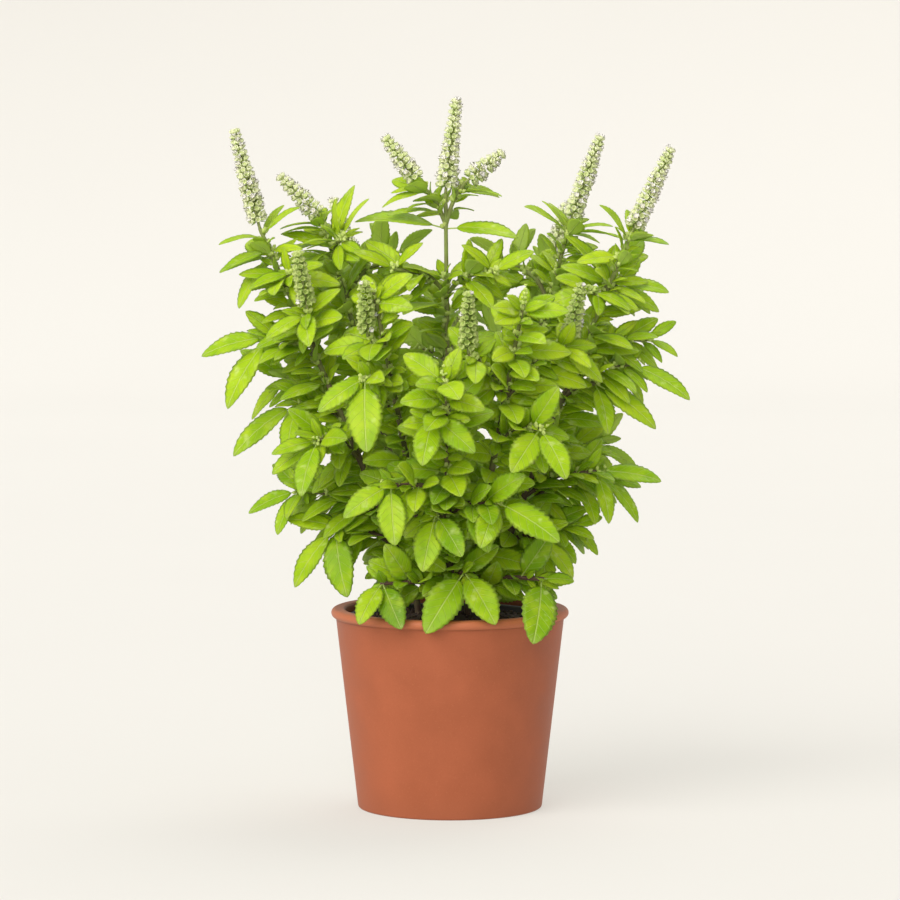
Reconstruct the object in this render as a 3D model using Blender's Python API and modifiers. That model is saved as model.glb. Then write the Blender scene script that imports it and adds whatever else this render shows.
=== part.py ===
"""Potted holy basil: a bushy herb with flower spikes, in a black nursery pot inside a terracotta-red pot.

Metres, +Z up. The origin is the middle of the pot's underside, and the plant's front faces -Y.
"""

import math
import random
from collections import namedtuple

import bmesh
import bpy
import numpy as np
from mathutils import Vector, noise
from mathutils.bvhtree import BVHTree

OBJECT_NAME = "potted_holy_basil"

# Outer pot
RIM_RADIUS = 0.080
RIM_INNER_RADIUS = 0.0706
RIM_THICK = 0.0062
POT_HEIGHT = 0.135
FOOT_RADIUS = 0.0622
SHOULDER_RADIUS = 0.0768
POT_WALL = 0.0035
POT_FLOOR = 0.004
FOOT_ROUND = 0.0015
POT_SIDES = 32

# Nursery pot inside it
GAP = 0.0003
LINER_TOP = 0.1300
LINER_LIP_RADIUS = 0.0692
LINER_LIP_THICK = 0.0022
LINER_TOP_RADIUS = 0.0676
LINER_FOOT_RADIUS = 0.0560
LINER_WALL = 0.0012
LINER_SIDES = 28
LINER_LIP_EDGE = 0.0005
DRAIN_RADIUS = 0.0045
DRAIN_CIRCLE_RADIUS = 0.038
DRAINS = 4
CUTTER_OVERHANG = 0.003

# Potting mix
SOIL_EDGE_HEIGHT = 0.1240
SOIL_HEAP = 0.0090
SOIL_LUMP = 0.0022
SOIL_LUMP_SPACING = 0.011
SOIL_SIDES = 20
SOIL_RINGS = 5
STEM_HOLE_RADIUS_SHARE = 1.12
STEM_HOLE_TOP = POT_HEIGHT + 0.02

# Stems
STEM_DEPTH = 0.026
STEM_RADIUS = 0.0026
STEM_TIP_RADIUS = 0.0013
SHOOT_RADIUS = 0.0015
SHOOT_TIP_RADIUS = 0.0013
STRAIGHT_ABOVE_SOIL = 0.006
# Where a stem bends between its foot and tip, and how far up it bulges for each metre it leans
STEM_BEND_SHARE = 0.45
STEM_BULGE = 0.10
STEM_STEPS = 8
SHOOT_STEPS = 3
# Shares of its span that a side shoot runs along its stem, and then towards its end, before it bends
FORK_ALONG_STEM = 0.30
FORK_TOWARDS_END = 0.25
FORK_SHARES = [i / 100 for i in range(12, 96, 3)]
LOWEST_SHOOT = POT_HEIGHT + 0.006
SHORTEST_SHOOT = 0.008
STRAIGHT_SHOOT = 0.020
# Rise of a side shoot as a share of its span: the least, the best, and how much a miss of the best counts
LEAST_RISE, BEST_RISE, RISE_WEIGHT = 0.25, 0.6, 0.5
# Share of a side shoot next to its stem that needs no room of its own
FORK_SHARE = 0.25
SPIKE_LEAN = math.radians(40)
CLEAR_ROUND_STEM = 0.0008

# Leaves
LEAF_THICK = 0.0011
LEAF_CLEAR_THICK = 0.0022
# Width as a share of length, and how much less it is on leaves that end far out or high up: from, over, less
LEAF_WIDTH_SHARE = 0.48
NARROWER_OUT, NARROWER_UP, NARROWER = (0.05, 0.06), (0.32, 0.06), 0.11
STALK_HALF_WIDTH = 0.0005
# Stalks start a little behind the stem's middle line, so that opposite ones overlap there
ROOT_SHARE = -0.012
LEAF_FOLD = 0.16
LEAF_ARCH = 0.065
# Outline of a half blade, with its teeth: share of the way to the tip, then share of the widest half width
LEAF_MARGIN = ((0.17, 0.13), (0.34, 0.84), (0.53, 1.00), (0.60, 0.82), (0.79, 0.62))
LEAF_MIDRIB = (0.38, 0.70)
LONGEST_ON_STEM = 0.042
LONGEST_ON_SHOOT = 0.038
# Where leaf pairs grow, as distances back from the end of a stem or shoot
PAIRS_ON_STEM = (0.007, 0.040, 0.075)
PAIRS_ON_SHOOT = (0.003, 0.028)
END_LEAF_ROOT = 0.0016
PAIRS_BELOW_SPIKE = (0.007,)
PAIRS_BELOW_TIPS = (0.022, 0.048)

BARE_FOOT = 0.008
# Heights between which the middle stem shows bare
BARE_LOW, BARE_HIGH = 0.350, 0.388
# Where a leaf's upper face looks: up, away from the axis, and to the front (to the back behind BACK_HALF)
FACES_UP, FACES_OUT, FACES_FRONT = 0.75, 0.55, 0.75
BACK_HALF = 0.03
# Leaves turn to the front less in the crown: from, over, and how much less
CROWN_FACES, CROWN_FACES_LESS = (0.345, 0.04), 0.45
# A leaf's aim: along its shoot, away from the axis, and up or down by chance
LEAF_FORWARD, LEAF_OUTWARD, LEAF_TILT = 0.45, (0.3, 0.7), 0.2
# How far leaves droop low on the plant, and how much less they do for each metre above a height
DROOP, DROOP_LOST, DROOP_HEIGHT = 0.55, 1.9, 0.24
SHORTEST_SHARE = 0.78
END_PAIR_FROM, END_PAIR_SIZE = 0.97, 0.82
LEAF_TOP = 0.424
# Leaves of the rule end neither on the rim nor inside it
SKIRT_HEIGHT, SKIRT_RADIUS = 0.150, 0.092
STALK_IN_STEM = 0.0032
# Swings about the vertical and lifts that a leaf may take to find room, and how short it may get
LEAF_SHRINKS = (1.0, 0.88)
HERO_STEPS = ((0, 0), (1, 0), (-1, 0), (0, 1), (0, -1), (2, 1), (-2, 1), (3, 0), (-3, 0))
HERO_TURNS = [(swing * 0.12, lift * 0.10) for swing, lift in HERO_STEPS]
RULE_TURNS = [(swing * 0.22, lift * 0.16) for swing in (0, 1, -1, 2, -2, 3, -3) for lift in (0, 1, -1)]

# Flower spikes
SPIKE_RADIUS = 0.0011
SPIKE_TIP_RADIUS = 0.0006
SPIKE_REACH = 0.0077
SPIKE_BARE_SHARE = 0.1
SPIKE_FOOT = 0.005
CALYX_LENGTH = 0.0060
CALYX_MOUTH = 0.0022
CALYX_FOOT = 0.0006
CALYX_STARTS = 0.0002
CALYCES_IN_A_WHORL = 3
WHORL_SPACING = 0.0086
# How much smaller the last whorl's calyces are, and how they lean towards the tip: the first, then the change
WHORL_SHRINK = 0.26
CALYX_LEAN, CALYX_LEAN_GAINED = 0.25, 1.1
WHORL_TURN = 0.4
TOP_WHORL = 0.003

SMOOTH_ANGLE = math.radians(35)

# Where pieces are joined
WELD = 0.000001
SMALLEST_NORMAL = 1e-12
JOINING = [(solver, split) for solver in ("MANIFOLD", "EXACT") for split in ("BEAUTY", "EAR_CLIP")]
# Shortest edge kept, and how far a face may tip, as a cosine, from the boldest to the most careful
JOINT_THINNING = ((0.0004, 0.7), (0.0004, 0.93), (0.0003, 0.95), (0.0001, 0.98))

LEAF_OWNER = None
SEED = 27

Shoot = namedtuple("Shoot", "points radii node kind")
Leaf = namedtuple("Leaf", "base tip up width fold shoot")

# Each stem from the soil: where it stands, where its leafy part ends, and the tip of its flower spike
MAIN_STEMS = (
    ((0.000, 0.002), (-0.003, 0.000, 0.414), (0.004, 0.000, 0.474)),
    ((-0.022, -0.004), (-0.127, -0.010, 0.391), (-0.143, -0.012, 0.454)),
    ((-0.014, 0.014), (-0.086, 0.020, 0.396), (-0.113, 0.024, 0.423)),
    ((0.014, 0.012), (0.081, 0.016, 0.394), (0.100, 0.018, 0.449)),
    ((0.023, -0.003), (0.121, -0.014, 0.388), (0.146, -0.016, 0.442)),
    ((-0.011, -0.016), (-0.050, -0.072, 0.352), None),
    ((0.012, -0.017), (0.048, -0.082, 0.345), None),
    ((-0.013, 0.031), (-0.068, 0.092, 0.368), (-0.080, 0.104, 0.404)),
    ((0.016, 0.030), (0.070, 0.096, 0.364), (0.080, 0.108, 0.400)),
    ((0.001, -0.029), (-0.004, -0.104, 0.300), None),
    ((0.002, 0.040), (0.002, 0.124, 0.330), None),
)

# Leaves that shape the crown: the stem, how far below its end, and the leaves' tips
CROWN_LEAVES = (
    (0, 0.013, ((-0.038, -0.010, 0.417), (0.041, -0.008, 0.416))),
    (0, 0.024, ((-0.064, -0.006, 0.396), (0.046, -0.010, 0.386))),
    (1, 0.005, ((-0.149, -0.014, 0.406), (-0.100, -0.014, 0.406))),
    (1, 0.017, ((-0.154, -0.016, 0.362), (-0.098, -0.022, 0.378))),
    (3, 0.008, ((0.050, -0.004, 0.406), (0.117, -0.004, 0.384))),
    (4, 0.006, ((0.100, -0.024, 0.408), (0.146, -0.020, 0.381))),
    (4, 0.018, ((0.084, -0.026, 0.369),)),
)

# Side shoots seen from the front and the sides: where each ends, its end leaves' tips and its spike's tip
FRONT_SHOOTS = (
    ((-0.072, -0.006, 0.384), ((-0.077, -0.010, 0.411), (-0.054, -0.014, 0.411)), None),
    ((-0.038, -0.014, 0.364), ((-0.018, -0.020, 0.382), (-0.064, -0.024, 0.376)), None),
    ((0.030, -0.014, 0.362), ((0.008, -0.020, 0.381), (0.056, -0.022, 0.376)), None),
    ((-0.104, -0.022, 0.362), ((-0.134, -0.030, 0.352), (-0.084, -0.038, 0.368)), None),
    ((0.094, -0.026, 0.350), ((0.070, -0.040, 0.360), (0.120, -0.038, 0.338)), None),
    ((-0.036, 0.034, 0.370), ((-0.054, 0.050, 0.392), (-0.012, 0.046, 0.388)), None),
    ((0.038, 0.038, 0.366), ((0.058, 0.054, 0.388), (0.014, 0.056, 0.382)), None),
    ((-0.020, 0.000, 0.420), (), (-0.042, 0.002, 0.449)),
    ((0.010, 0.001, 0.421), (), (0.033, 0.004, 0.439)),
    ((-0.122, -0.006, 0.318), ((-0.167, -0.008, 0.306), (-0.149, -0.022, 0.271)), None),
    ((-0.103, 0.004, 0.273), ((-0.147, 0.000, 0.238), (-0.112, -0.022, 0.240)), None),
    ((-0.103, 0.002, 0.214), ((-0.136, 0.000, 0.199), (-0.116, -0.016, 0.186)), None),
    ((-0.078, -0.012, 0.190), ((-0.105, -0.012, 0.150), (-0.072, -0.036, 0.146)), None),
    ((-0.120, 0.004, 0.372), ((-0.155, -0.004, 0.362), (-0.141, -0.020, 0.338)), None),
    ((0.112, -0.004, 0.354), ((0.147, -0.008, 0.349), (0.128, 0.010, 0.370)), None),
    ((0.134, 0.002, 0.316), ((0.152, 0.004, 0.328), (0.153, -0.004, 0.305)), None),
    ((0.122, -0.010, 0.300), ((0.161, -0.016, 0.277), (0.133, 0.020, 0.288)), None),
    ((0.098, -0.018, 0.288), ((0.138, -0.024, 0.258), (0.108, -0.042, 0.256)), None),
    ((0.099, -0.008, 0.228), ((0.142, -0.012, 0.222), (0.107, -0.022, 0.194)), None),
    ((0.106, 0.014, 0.221), ((0.128, 0.008, 0.192), (0.130, 0.030, 0.214)), None),
    ((0.083, -0.004, 0.190), ((0.100, -0.004, 0.171), (0.103, 0.006, 0.196)), None),
    ((0.060, -0.026, 0.186), ((0.064, -0.036, 0.148), (0.083, -0.024, 0.154)), None),
    ((-0.056, -0.090, 0.296), ((-0.054, -0.116, 0.250), (-0.086, -0.104, 0.276)), None),
    ((-0.012, -0.098, 0.272), ((-0.018, -0.122, 0.242), (0.014, -0.118, 0.250)), None),
    ((-0.040, -0.086, 0.226), ((-0.036, -0.104, 0.188), (-0.070, -0.096, 0.206)), None),
    ((-0.010, -0.076, 0.206), ((-0.018, -0.096, 0.170), (0.008, -0.098, 0.176)), None),
    ((0.032, -0.078, 0.214), ((0.072, -0.096, 0.190), (0.020, -0.100, 0.186)), None),
    ((0.060, -0.078, 0.262), ((0.076, -0.104, 0.232), (0.040, -0.104, 0.236)), None),
    ((-0.088, -0.052, 0.252), ((-0.098, -0.078, 0.218), (-0.118, -0.058, 0.244)), None),
    ((0.010, -0.062, 0.166), ((0.030, -0.086, 0.134), (-0.006, -0.092, 0.128)), None),
    ((0.036, -0.066, 0.154), ((0.018, -0.094, 0.112), (0.044, -0.094, 0.110)), None),
    ((-0.046, -0.058, 0.158), ((-0.032, -0.084, 0.131), (-0.060, -0.082, 0.130)), None),
    ((0.062, -0.050, 0.160), ((0.055, -0.088, 0.122), (0.083, -0.042, 0.158)), None),
    ((-0.054, -0.066, 0.322), (), (-0.056, -0.080, 0.356)),
    ((0.012, -0.080, 0.312), (), (0.012, -0.092, 0.350)),
    ((-0.094, -0.046, 0.338), (), (-0.100, -0.054, 0.374)),
    ((0.078, -0.056, 0.318), (), (0.086, -0.064, 0.354)),
)

# Side shoots of the back, which a golden-angle rule spreads over the bush
BACK_SHOOTS = 13
BACK_FROM, BACK_TO = math.radians(4), math.radians(176)
BACK_LOW, BACK_HIGH = 0.176, 0.368
GOLDEN = 0.6180339887
# Half width of the bush at the ends of its shoots: height, then radius
BUSH_PROFILE = ((0.16, 0.072), (0.20, 0.102), (0.25, 0.116), (0.31, 0.122), (0.36, 0.112), (0.40, 0.080))

TERRACOTTA = (0.60, 0.19, 0.085)
BLACK_PLASTIC = (0.012, 0.013, 0.014)
SOIL_BROWN = (0.030, 0.018, 0.011)
LEAF_GREEN = (0.26, 0.48, 0.035)
SPIKE_GREEN = (0.62, 0.68, 0.38)


def material(name, colour, roughness):
    """A plain finish for one kind of piece."""
    made = bpy.data.materials.new(name)
    made.use_nodes = True
    shader = made.node_tree.nodes["Principled BSDF"]
    shader.inputs["Base Color"].default_value = (*colour, 1)
    shader.inputs["Roughness"].default_value = roughness
    shader.inputs["Metallic"].default_value = 0
    made.diffuse_color = (*colour, 1)
    return made


def new_object(name, mesh, collection):
    made = bpy.data.objects.new(name, mesh)
    collection.objects.link(made)
    return made


def mesh_object(name, points, faces, collection):
    mesh = bpy.data.meshes.new(name)
    mesh.from_pydata([tuple(p) for p in points], [], faces)
    return new_object(name, mesh, collection)


def is_closed(solid):
    return all(len(edge.link_faces) == 2 for edge in solid.edges)


def drop_flaps(solid):
    """Removes faces that enclose nothing: two on the same corners, or one that hangs by an open edge."""
    flaps = True
    while flaps:
        by_corners = {}
        for face in solid.faces:
            by_corners.setdefault(frozenset(face.verts), []).append(face)
        flaps = {face for twins in by_corners.values() if len(twins) == 2 for face in twins}
        flaps |= {face for face in solid.faces if any(len(edge.link_faces) == 1 for edge in face.edges)}
        bmesh.ops.delete(solid, geom=list(flaps), context="FACES_ONLY")
        loose = [edge for edge in solid.edges if not edge.link_faces]
        bmesh.ops.delete(solid, geom=loose, context="EDGES")
        bmesh.ops.delete(solid, geom=[v for v in solid.verts if not v.link_edges], context="VERTS")


def evaluated_mesh(obj, split=None):
    """A plain welded mesh of the object with its modifiers, or of its curve, and whether it is closed."""
    bpy.context.view_layer.update()
    graph = bpy.context.evaluated_depsgraph_get()
    mesh = bpy.data.meshes.new_from_object(obj.evaluated_get(graph))
    solid = bmesh.new()
    solid.from_mesh(mesh)
    bmesh.ops.remove_doubles(solid, verts=solid.verts, dist=WELD)
    bmesh.ops.recalc_face_normals(solid, faces=solid.faces)
    if split:
        bmesh.ops.triangulate(solid, faces=solid.faces, ngon_method=split)
        drop_flaps(solid)
    solid.to_mesh(mesh)
    closed = is_closed(solid) and not (split and crosses_itself(solid))
    solid.free()
    return mesh, closed


def replaced(obj, mesh):
    """A new object with the mesh, in the old one's place and with its name."""
    name, collection, place = obj.name, obj.users_collection[0], obj.matrix_world.copy()
    bpy.data.objects.remove(obj)
    made = new_object(name, mesh, collection)
    made.name = name
    made.matrix_world = place
    return made


def settled(obj):
    """The object with its modifiers or its curve made into a plain welded mesh."""
    return replaced(obj, evaluated_mesh(obj)[0])


def boolean(obj, cutters, operation, ways=(("EXACT", None),)):
    """Joins a collection to the object, or cuts it away, by the first way that closes it."""
    step = obj.modifiers.new(operation, "BOOLEAN")
    step.operation = operation
    step.operand_type = "COLLECTION"
    step.collection = cutters
    for solver, split in ways:
        step.solver = solver
        mesh, closed = evaluated_mesh(obj, split)
        if closed:
            break
    made = replaced(obj, mesh)
    for cutter in list(cutters.objects):
        bpy.data.objects.remove(cutter)
    bpy.data.collections.remove(cutters)
    return made


def turns_over(edge, goal, most_tipped):
    """Whether moving the edge's two ends to the goal would tip a face that touches one of them."""
    for end in edge.verts:
        for face in end.link_faces:
            if edge in face.edges:
                continue
            a, b, c = (goal if v in edge.verts else v.co for v in face.verts)
            normal = (b - a).cross(c - a)
            if normal.length < SMALLEST_NORMAL or normal.normalized().dot(face.normal) < most_tipped:
                return True
    return False


def merge_short_edges(solid, shortest, most_tipped):
    """Merges the ends of short edges, so long as the surface stays closed and no face turns over."""
    merged = True
    while merged:
        merged = False
        lengths = ((edge.calc_length(), edge) for edge in solid.edges)
        short = sorted((pair for pair in lengths if pair[0] < shortest), key=lambda pair: pair[0])
        for _, edge in short:
            if not edge.is_valid or edge.calc_length() >= shortest:
                continue
            near, far = ({e.other_vert(end) for e in end.link_edges} for end in edge.verts)
            keep = max(edge.verts, key=lambda v: sum(e.calc_length() for e in v.link_edges))
            goal = keep.co.copy()
            if len(near & far) == 2 and not turns_over(edge, goal, most_tipped):
                bmesh.ops.pointmerge(solid, verts=list(edge.verts), merge_co=goal)
                merged = True


def crosses_itself(solid):
    """Whether any two faces that share no corner cross."""
    tree = BVHTree.FromBMesh(solid)
    solid.faces.ensure_lookup_table()
    pairs = ((solid.faces[i], solid.faces[j]) for i, j in tree.overlap(tree) if i < j)
    return any(not set(a.verts) & set(b.verts) for a, b in pairs)


def thin_joints(obj):
    """Draws together the crowded points where pieces were joined, if the surface stays clear of itself."""
    for shortest, most_tipped in JOINT_THINNING:
        solid = bmesh.new()
        solid.from_mesh(obj.data)
        merge_short_edges(solid, shortest, most_tipped)
        clean = is_closed(solid) and not crosses_itself(solid)
        if clean:
            solid.to_mesh(obj.data)
        solid.free()
        if clean:
            break
    return obj


def helper_collection(name):
    made = bpy.data.collections.new(name)
    bpy.context.scene.collection.children.link(made)
    made.hide_render = True
    return made


def turned(name, profile, sides, collection):
    """A round solid from half a section, which runs up the inside and down the outside."""
    mesh = bpy.data.meshes.new(name)
    edges = [(i, i + 1) for i in range(len(profile) - 1)]
    mesh.from_pydata([(radius, 0, height) for radius, height in profile], edges, [])
    made = new_object(name, mesh, collection)
    screw = made.modifiers.new("turn", "SCREW")
    screw.steps = screw.render_steps = sides
    screw.use_merge_vertices = True
    screw.merge_threshold = 0.00001
    return made


def cylinder(name, radius, low, high, place, sides, collection):
    solid = bmesh.new()
    bmesh.ops.create_cone(
        solid, cap_ends=True, segments=sides, radius1=radius, radius2=radius, depth=high - low
    )
    mesh = bpy.data.meshes.new(name)
    solid.to_mesh(mesh)
    solid.free()
    made = new_object(name, mesh, collection)
    made.location = (place[0], place[1], (low + high) / 2)
    return made


def make_pot(collection):
    """The outer pot: a tapered wall, a floor and a thick rounded rim."""
    rim_low = POT_HEIGHT - RIM_THICK
    rim_round = RIM_THICK * 0.3
    profile = (
        (0, POT_FLOOR),
        (FOOT_RADIUS - POT_WALL - FOOT_ROUND, POT_FLOOR),
        (FOOT_RADIUS - POT_WALL, POT_FLOOR + FOOT_ROUND),
        (SHOULDER_RADIUS - POT_WALL, rim_low - rim_round),
        (RIM_INNER_RADIUS + rim_round, rim_low),
        (RIM_INNER_RADIUS, rim_low + rim_round),
        (RIM_INNER_RADIUS, POT_HEIGHT - rim_round),
        (RIM_INNER_RADIUS + rim_round, POT_HEIGHT),
        (RIM_RADIUS - 1.3 * rim_round, POT_HEIGHT),
        (RIM_RADIUS - 0.35 * rim_round, POT_HEIGHT - 0.55 * rim_round),
        (RIM_RADIUS, POT_HEIGHT - 1.6 * rim_round),
        (RIM_RADIUS - 0.35 * rim_round, rim_low + 0.5 * rim_round),
        (RIM_RADIUS - 1.2 * rim_round, rim_low),
        (SHOULDER_RADIUS, rim_low),
        (FOOT_RADIUS, FOOT_ROUND),
        (FOOT_RADIUS - FOOT_ROUND, 0),
        (0, 0),
    )
    return turned("pot", profile, POT_SIDES, collection)


def liner_inner_radius(height):
    """Radius of the nursery pot's inner face at a height."""
    share = (height - POT_FLOOR) / (LINER_TOP - POT_FLOOR)
    return LINER_FOOT_RADIUS + share * (LINER_TOP_RADIUS - LINER_FOOT_RADIUS) - LINER_WALL


def make_liner(collection):
    """The thin black nursery pot, with a narrow lip and drain holes, standing on the outer pot's floor."""
    low = POT_FLOOR + GAP
    floor = low + LINER_WALL
    lip_low = LINER_TOP - LINER_LIP_THICK
    profile = (
        (0, floor),
        (liner_inner_radius(floor), floor),
        (liner_inner_radius(LINER_TOP), LINER_TOP),
        (LINER_LIP_RADIUS - LINER_LIP_EDGE, LINER_TOP),
        (LINER_LIP_RADIUS, LINER_TOP - LINER_LIP_EDGE),
        (LINER_LIP_RADIUS, lip_low),
        (liner_inner_radius(lip_low) + LINER_WALL, lip_low),
        (liner_inner_radius(low) + LINER_WALL, low),
        (0, low),
    )
    liner = turned("liner", profile, LINER_SIDES, collection)
    holes = helper_collection("drain_holes")
    for i in range(DRAINS):
        angle = 2 * math.pi * (i + 0.5) / DRAINS
        place = (DRAIN_CIRCLE_RADIUS * math.cos(angle), DRAIN_CIRCLE_RADIUS * math.sin(angle))
        cylinder(f"drain_{i}", DRAIN_RADIUS, low - CUTTER_OVERHANG, floor + CUTTER_OVERHANG, place, 8, holes)
    return boolean(liner, holes, "DIFFERENCE")


def soil_height(x, y):
    """Height of the potting mix: heaped towards the stems, with lumps."""
    share = min(1.0, math.hypot(x, y) / liner_inner_radius(SOIL_EDGE_HEIGHT))
    lump = noise.noise(Vector((x, y, 0.5)) / SOIL_LUMP_SPACING)
    return SOIL_EDGE_HEIGHT + SOIL_HEAP * (1 - share**2) + SOIL_LUMP * lump * (1 - share**4)


def make_soil(feet, collection):
    """The potting mix, which fills the nursery pot, with a plain hole for each stem."""
    low = POT_FLOOR + GAP + LINER_WALL + GAP
    edge = liner_inner_radius(SOIL_EDGE_HEIGHT) - 1.5 * GAP
    rings = [(edge * i / SOIL_RINGS, SOIL_EDGE_HEIGHT) for i in range(SOIL_RINGS + 1)]
    profile = [*rings, (liner_inner_radius(low) - 1.5 * GAP, low), (0, low)]
    soil = settled(turned("soil", profile, SOIL_SIDES, collection))
    for vertex in soil.data.vertices:
        if vertex.co.z > low + STEM_DEPTH:
            vertex.co.z = soil_height(vertex.co.x, vertex.co.y)
    holes = helper_collection("stem_holes")
    radius = STEM_RADIUS * STEM_HOLE_RADIUS_SHARE + GAP
    for i, (x, y) in enumerate(feet):
        cylinder(f"hole_{i}", radius, soil_height(x, y) - STEM_DEPTH, STEM_HOLE_TOP, (x, y), 8, holes)
    return boolean(soil, holes, "DIFFERENCE")


def bend(start, middle, end, count):
    """Points along a quadratic curve, both ends among them."""
    shares = [i / (count - 1) for i in range(count)]
    return [start * (1 - s) ** 2 + middle * 2 * s * (1 - s) + end * s**2 for s in shares]


def main_stem(node, foot, tip):
    """A stem that stands upright in the soil and then leans out to its tip."""
    ground = soil_height(*foot)
    low = Vector((*foot, ground - STEM_DEPTH + GAP))
    rise = Vector((*foot, ground + STRAIGHT_ABOVE_SOIL))
    tip = Vector(tip)
    middle = rise.lerp(tip, STEM_BEND_SHARE)
    middle.z += STEM_BULGE * (tip.xy - rise.xy).length
    points = [low, *bend(rise, middle, tip, STEM_STEPS)]
    shares = [0, *(i / (STEM_STEPS - 1) for i in range(STEM_STEPS))]
    radii = [STEM_RADIUS + s * (STEM_TIP_RADIUS - STEM_RADIUS) for s in shares]
    return Shoot(points, radii, node, "main")


def tube(name, points, radii, sides, collection):
    """A stem as a closed mesh: a poly curve with a radius at each point."""
    curve = bpy.data.curves.new(name, "CURVE")
    curve.dimensions = "3D"
    curve.bevel_depth = 1.0
    curve.bevel_resolution = (sides - 4) // 2
    curve.use_fill_caps = True
    spline = curve.splines.new("POLY")
    spline.points.add(len(points) - 1)
    for slot, point, radius in zip(spline.points, points, radii):
        slot.co = (*point, 1)
        slot.radius = radius
    return settled(new_object(name, curve, collection))


def leaf_point(leaf, share):
    """A point on the midrib, with the blade's tangent and upward normal there."""
    chord = leaf.tip - leaf.base
    rise = LEAF_ARCH * chord.length * 4 * share * (1 - share)
    slope = LEAF_ARCH * chord.length * 4 * (1 - 2 * share)
    tangent = (chord + leaf.up * slope).normalized()
    side = tangent.cross(leaf.up).normalized()
    return leaf.base + chord * share + leaf.up * rise, side, side.cross(tangent)


def zipped(first, second):
    """Triangles between two rows of (share, vertex) that start side by side and end at one vertex."""
    faces, i, j = [], 0, 0
    while i < len(first) - 1 or j < len(second) - 1:
        if j == len(second) - 1 or (i < len(first) - 1 and first[i + 1][0] <= second[j + 1][0]):
            face = (first[i][1], first[i + 1][1], second[j][1])
            i += 1
        else:
            face = (first[i][1], second[j + 1][1], second[j][1])
            j += 1
        if len(set(face)) == 3:
            faces.append(face)
    return faces


def blade(leaf, thick, root):
    """Points and faces of a leaf: a stalk from share root, then a thin arched blade with a toothed margin."""
    half = leaf.width / 2
    points, rows = [], {}
    centre, side, normal = leaf_point(leaf, root)
    for name, across, up in (("left", -1, 0.3), ("right", 1, 0.3), ("under", 0, -0.7)):
        rows[name] = [(root, len(points))]
        points.append(centre + side * (across * STALK_HALF_WIDTH) + normal * (up * thick))
    for name, way in (("left", -1), ("right", 1)):
        for share, reach in LEAF_MARGIN:
            centre, side, normal = leaf_point(leaf, share)
            rows[name].append((share, len(points)))
            points.append(centre + side * (way * half * reach) + normal * (leaf.fold * half * reach))
    rows["top"] = []
    for name, way in (("top", 1), ("under", -1)):
        for share in LEAF_MIDRIB:
            centre, _, normal = leaf_point(leaf, share)
            rows[name].append((share, len(points)))
            points.append(centre + normal * (way * thick / 2))
    end = (1.0, len(points))
    points.append(leaf_point(leaf, 1.0)[0])
    for row in rows.values():
        row.append(end)
    faces = zipped(rows["left"], rows["top"]) + zipped(rows["top"], rows["right"])
    faces += zipped(rows["under"], rows["left"]) + zipped(rows["right"], rows["under"])
    left, right, top, under = (rows[name][0][1] for name in ("left", "right", "top", "under"))
    return points, [*faces, (left, top, right), (left, right, under)]


def ring_prism(points, radius, sides=6):
    """Points and faces of a tube that stands for a stem or a spike in the tests for crossing."""
    found, faces = [], []
    for i, point in enumerate(points):
        along = (points[min(i + 1, len(points) - 1)] - points[max(i - 1, 0)]).normalized()
        side = along.orthogonal().normalized() if i == 0 else (side - along * side.dot(along)).normalized()
        across = along.cross(side)
        for k in range(sides):
            angle = 2 * math.pi * k / sides
            found.append(point + (side * math.cos(angle) + across * math.sin(angle)) * radius)
    for i in range(len(points) - 1):
        for k in range(sides):
            a, b = i * sides + k, i * sides + (k + 1) % sides
            faces.append((a, b, b + sides, a + sides))
    return found, [*faces, range(sides), range(len(found) - sides, len(found))]


class Room:
    """What has been placed so far, so that the next piece can be kept clear of it."""

    def __init__(self):
        self.owners, self.trees = [], []
        self.middles, self.reaches = np.empty((0, 3)), np.empty(0)

    def shape(self, points, faces):
        middle = sum(points, Vector()) / len(points)
        reach = max((p - middle).length for p in points)
        return middle, reach, BVHTree.FromPolygons(points, faces)

    def free(self, shape, skip=()):
        middle, reach, tree = shape
        near = np.linalg.norm(self.middles - np.array(middle), axis=1) < self.reaches + reach
        others = (i for i in np.flatnonzero(near) if self.owners[i] not in skip)
        return not any(tree.overlap(self.trees[i]) for i in others)

    def take(self, owner, shape):
        middle, reach, tree = shape
        self.owners.append(owner)
        self.trees.append(tree)
        self.middles = np.vstack([self.middles, middle])
        self.reaches = np.append(self.reaches, reach)


def bush_radius(height):
    """How far out the back shoots end at a height."""
    for (low, near), (high, far) in zip(BUSH_PROFILE, BUSH_PROFILE[1:]):
        if height <= high:
            return near + (far - near) * (height - low) / (high - low)
    return BUSH_PROFILE[-1][1]


def back_targets(rng):
    """Where the back shoots end, spread by the golden angle."""
    for i in range(BACK_SHOOTS):
        angle = BACK_FROM + (BACK_TO - BACK_FROM) * ((i + 1) * GOLDEN % 1)
        height = BACK_LOW + (BACK_HIGH - BACK_LOW) * (i + 0.5) / BACK_SHOOTS
        radius = bush_radius(height) * rng.uniform(0.92, 1.04)
        yield Vector((radius * math.cos(angle), radius * math.sin(angle), height))


def along(points, share):
    """The point and direction at a share of a path's length."""
    lengths = [(b - a).length for a, b in zip(points, points[1:])]
    wanted = share * sum(lengths)
    for a, b, length in zip(points, points[1:], lengths):
        if wanted <= length:
            return a.lerp(b, wanted / length), (b - a).normalized()
        wanted -= length
    return points[-1].copy(), (points[-1] - points[-2]).normalized()


def path_length(points):
    return sum((b - a).length for a, b in zip(points, points[1:]))


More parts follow.
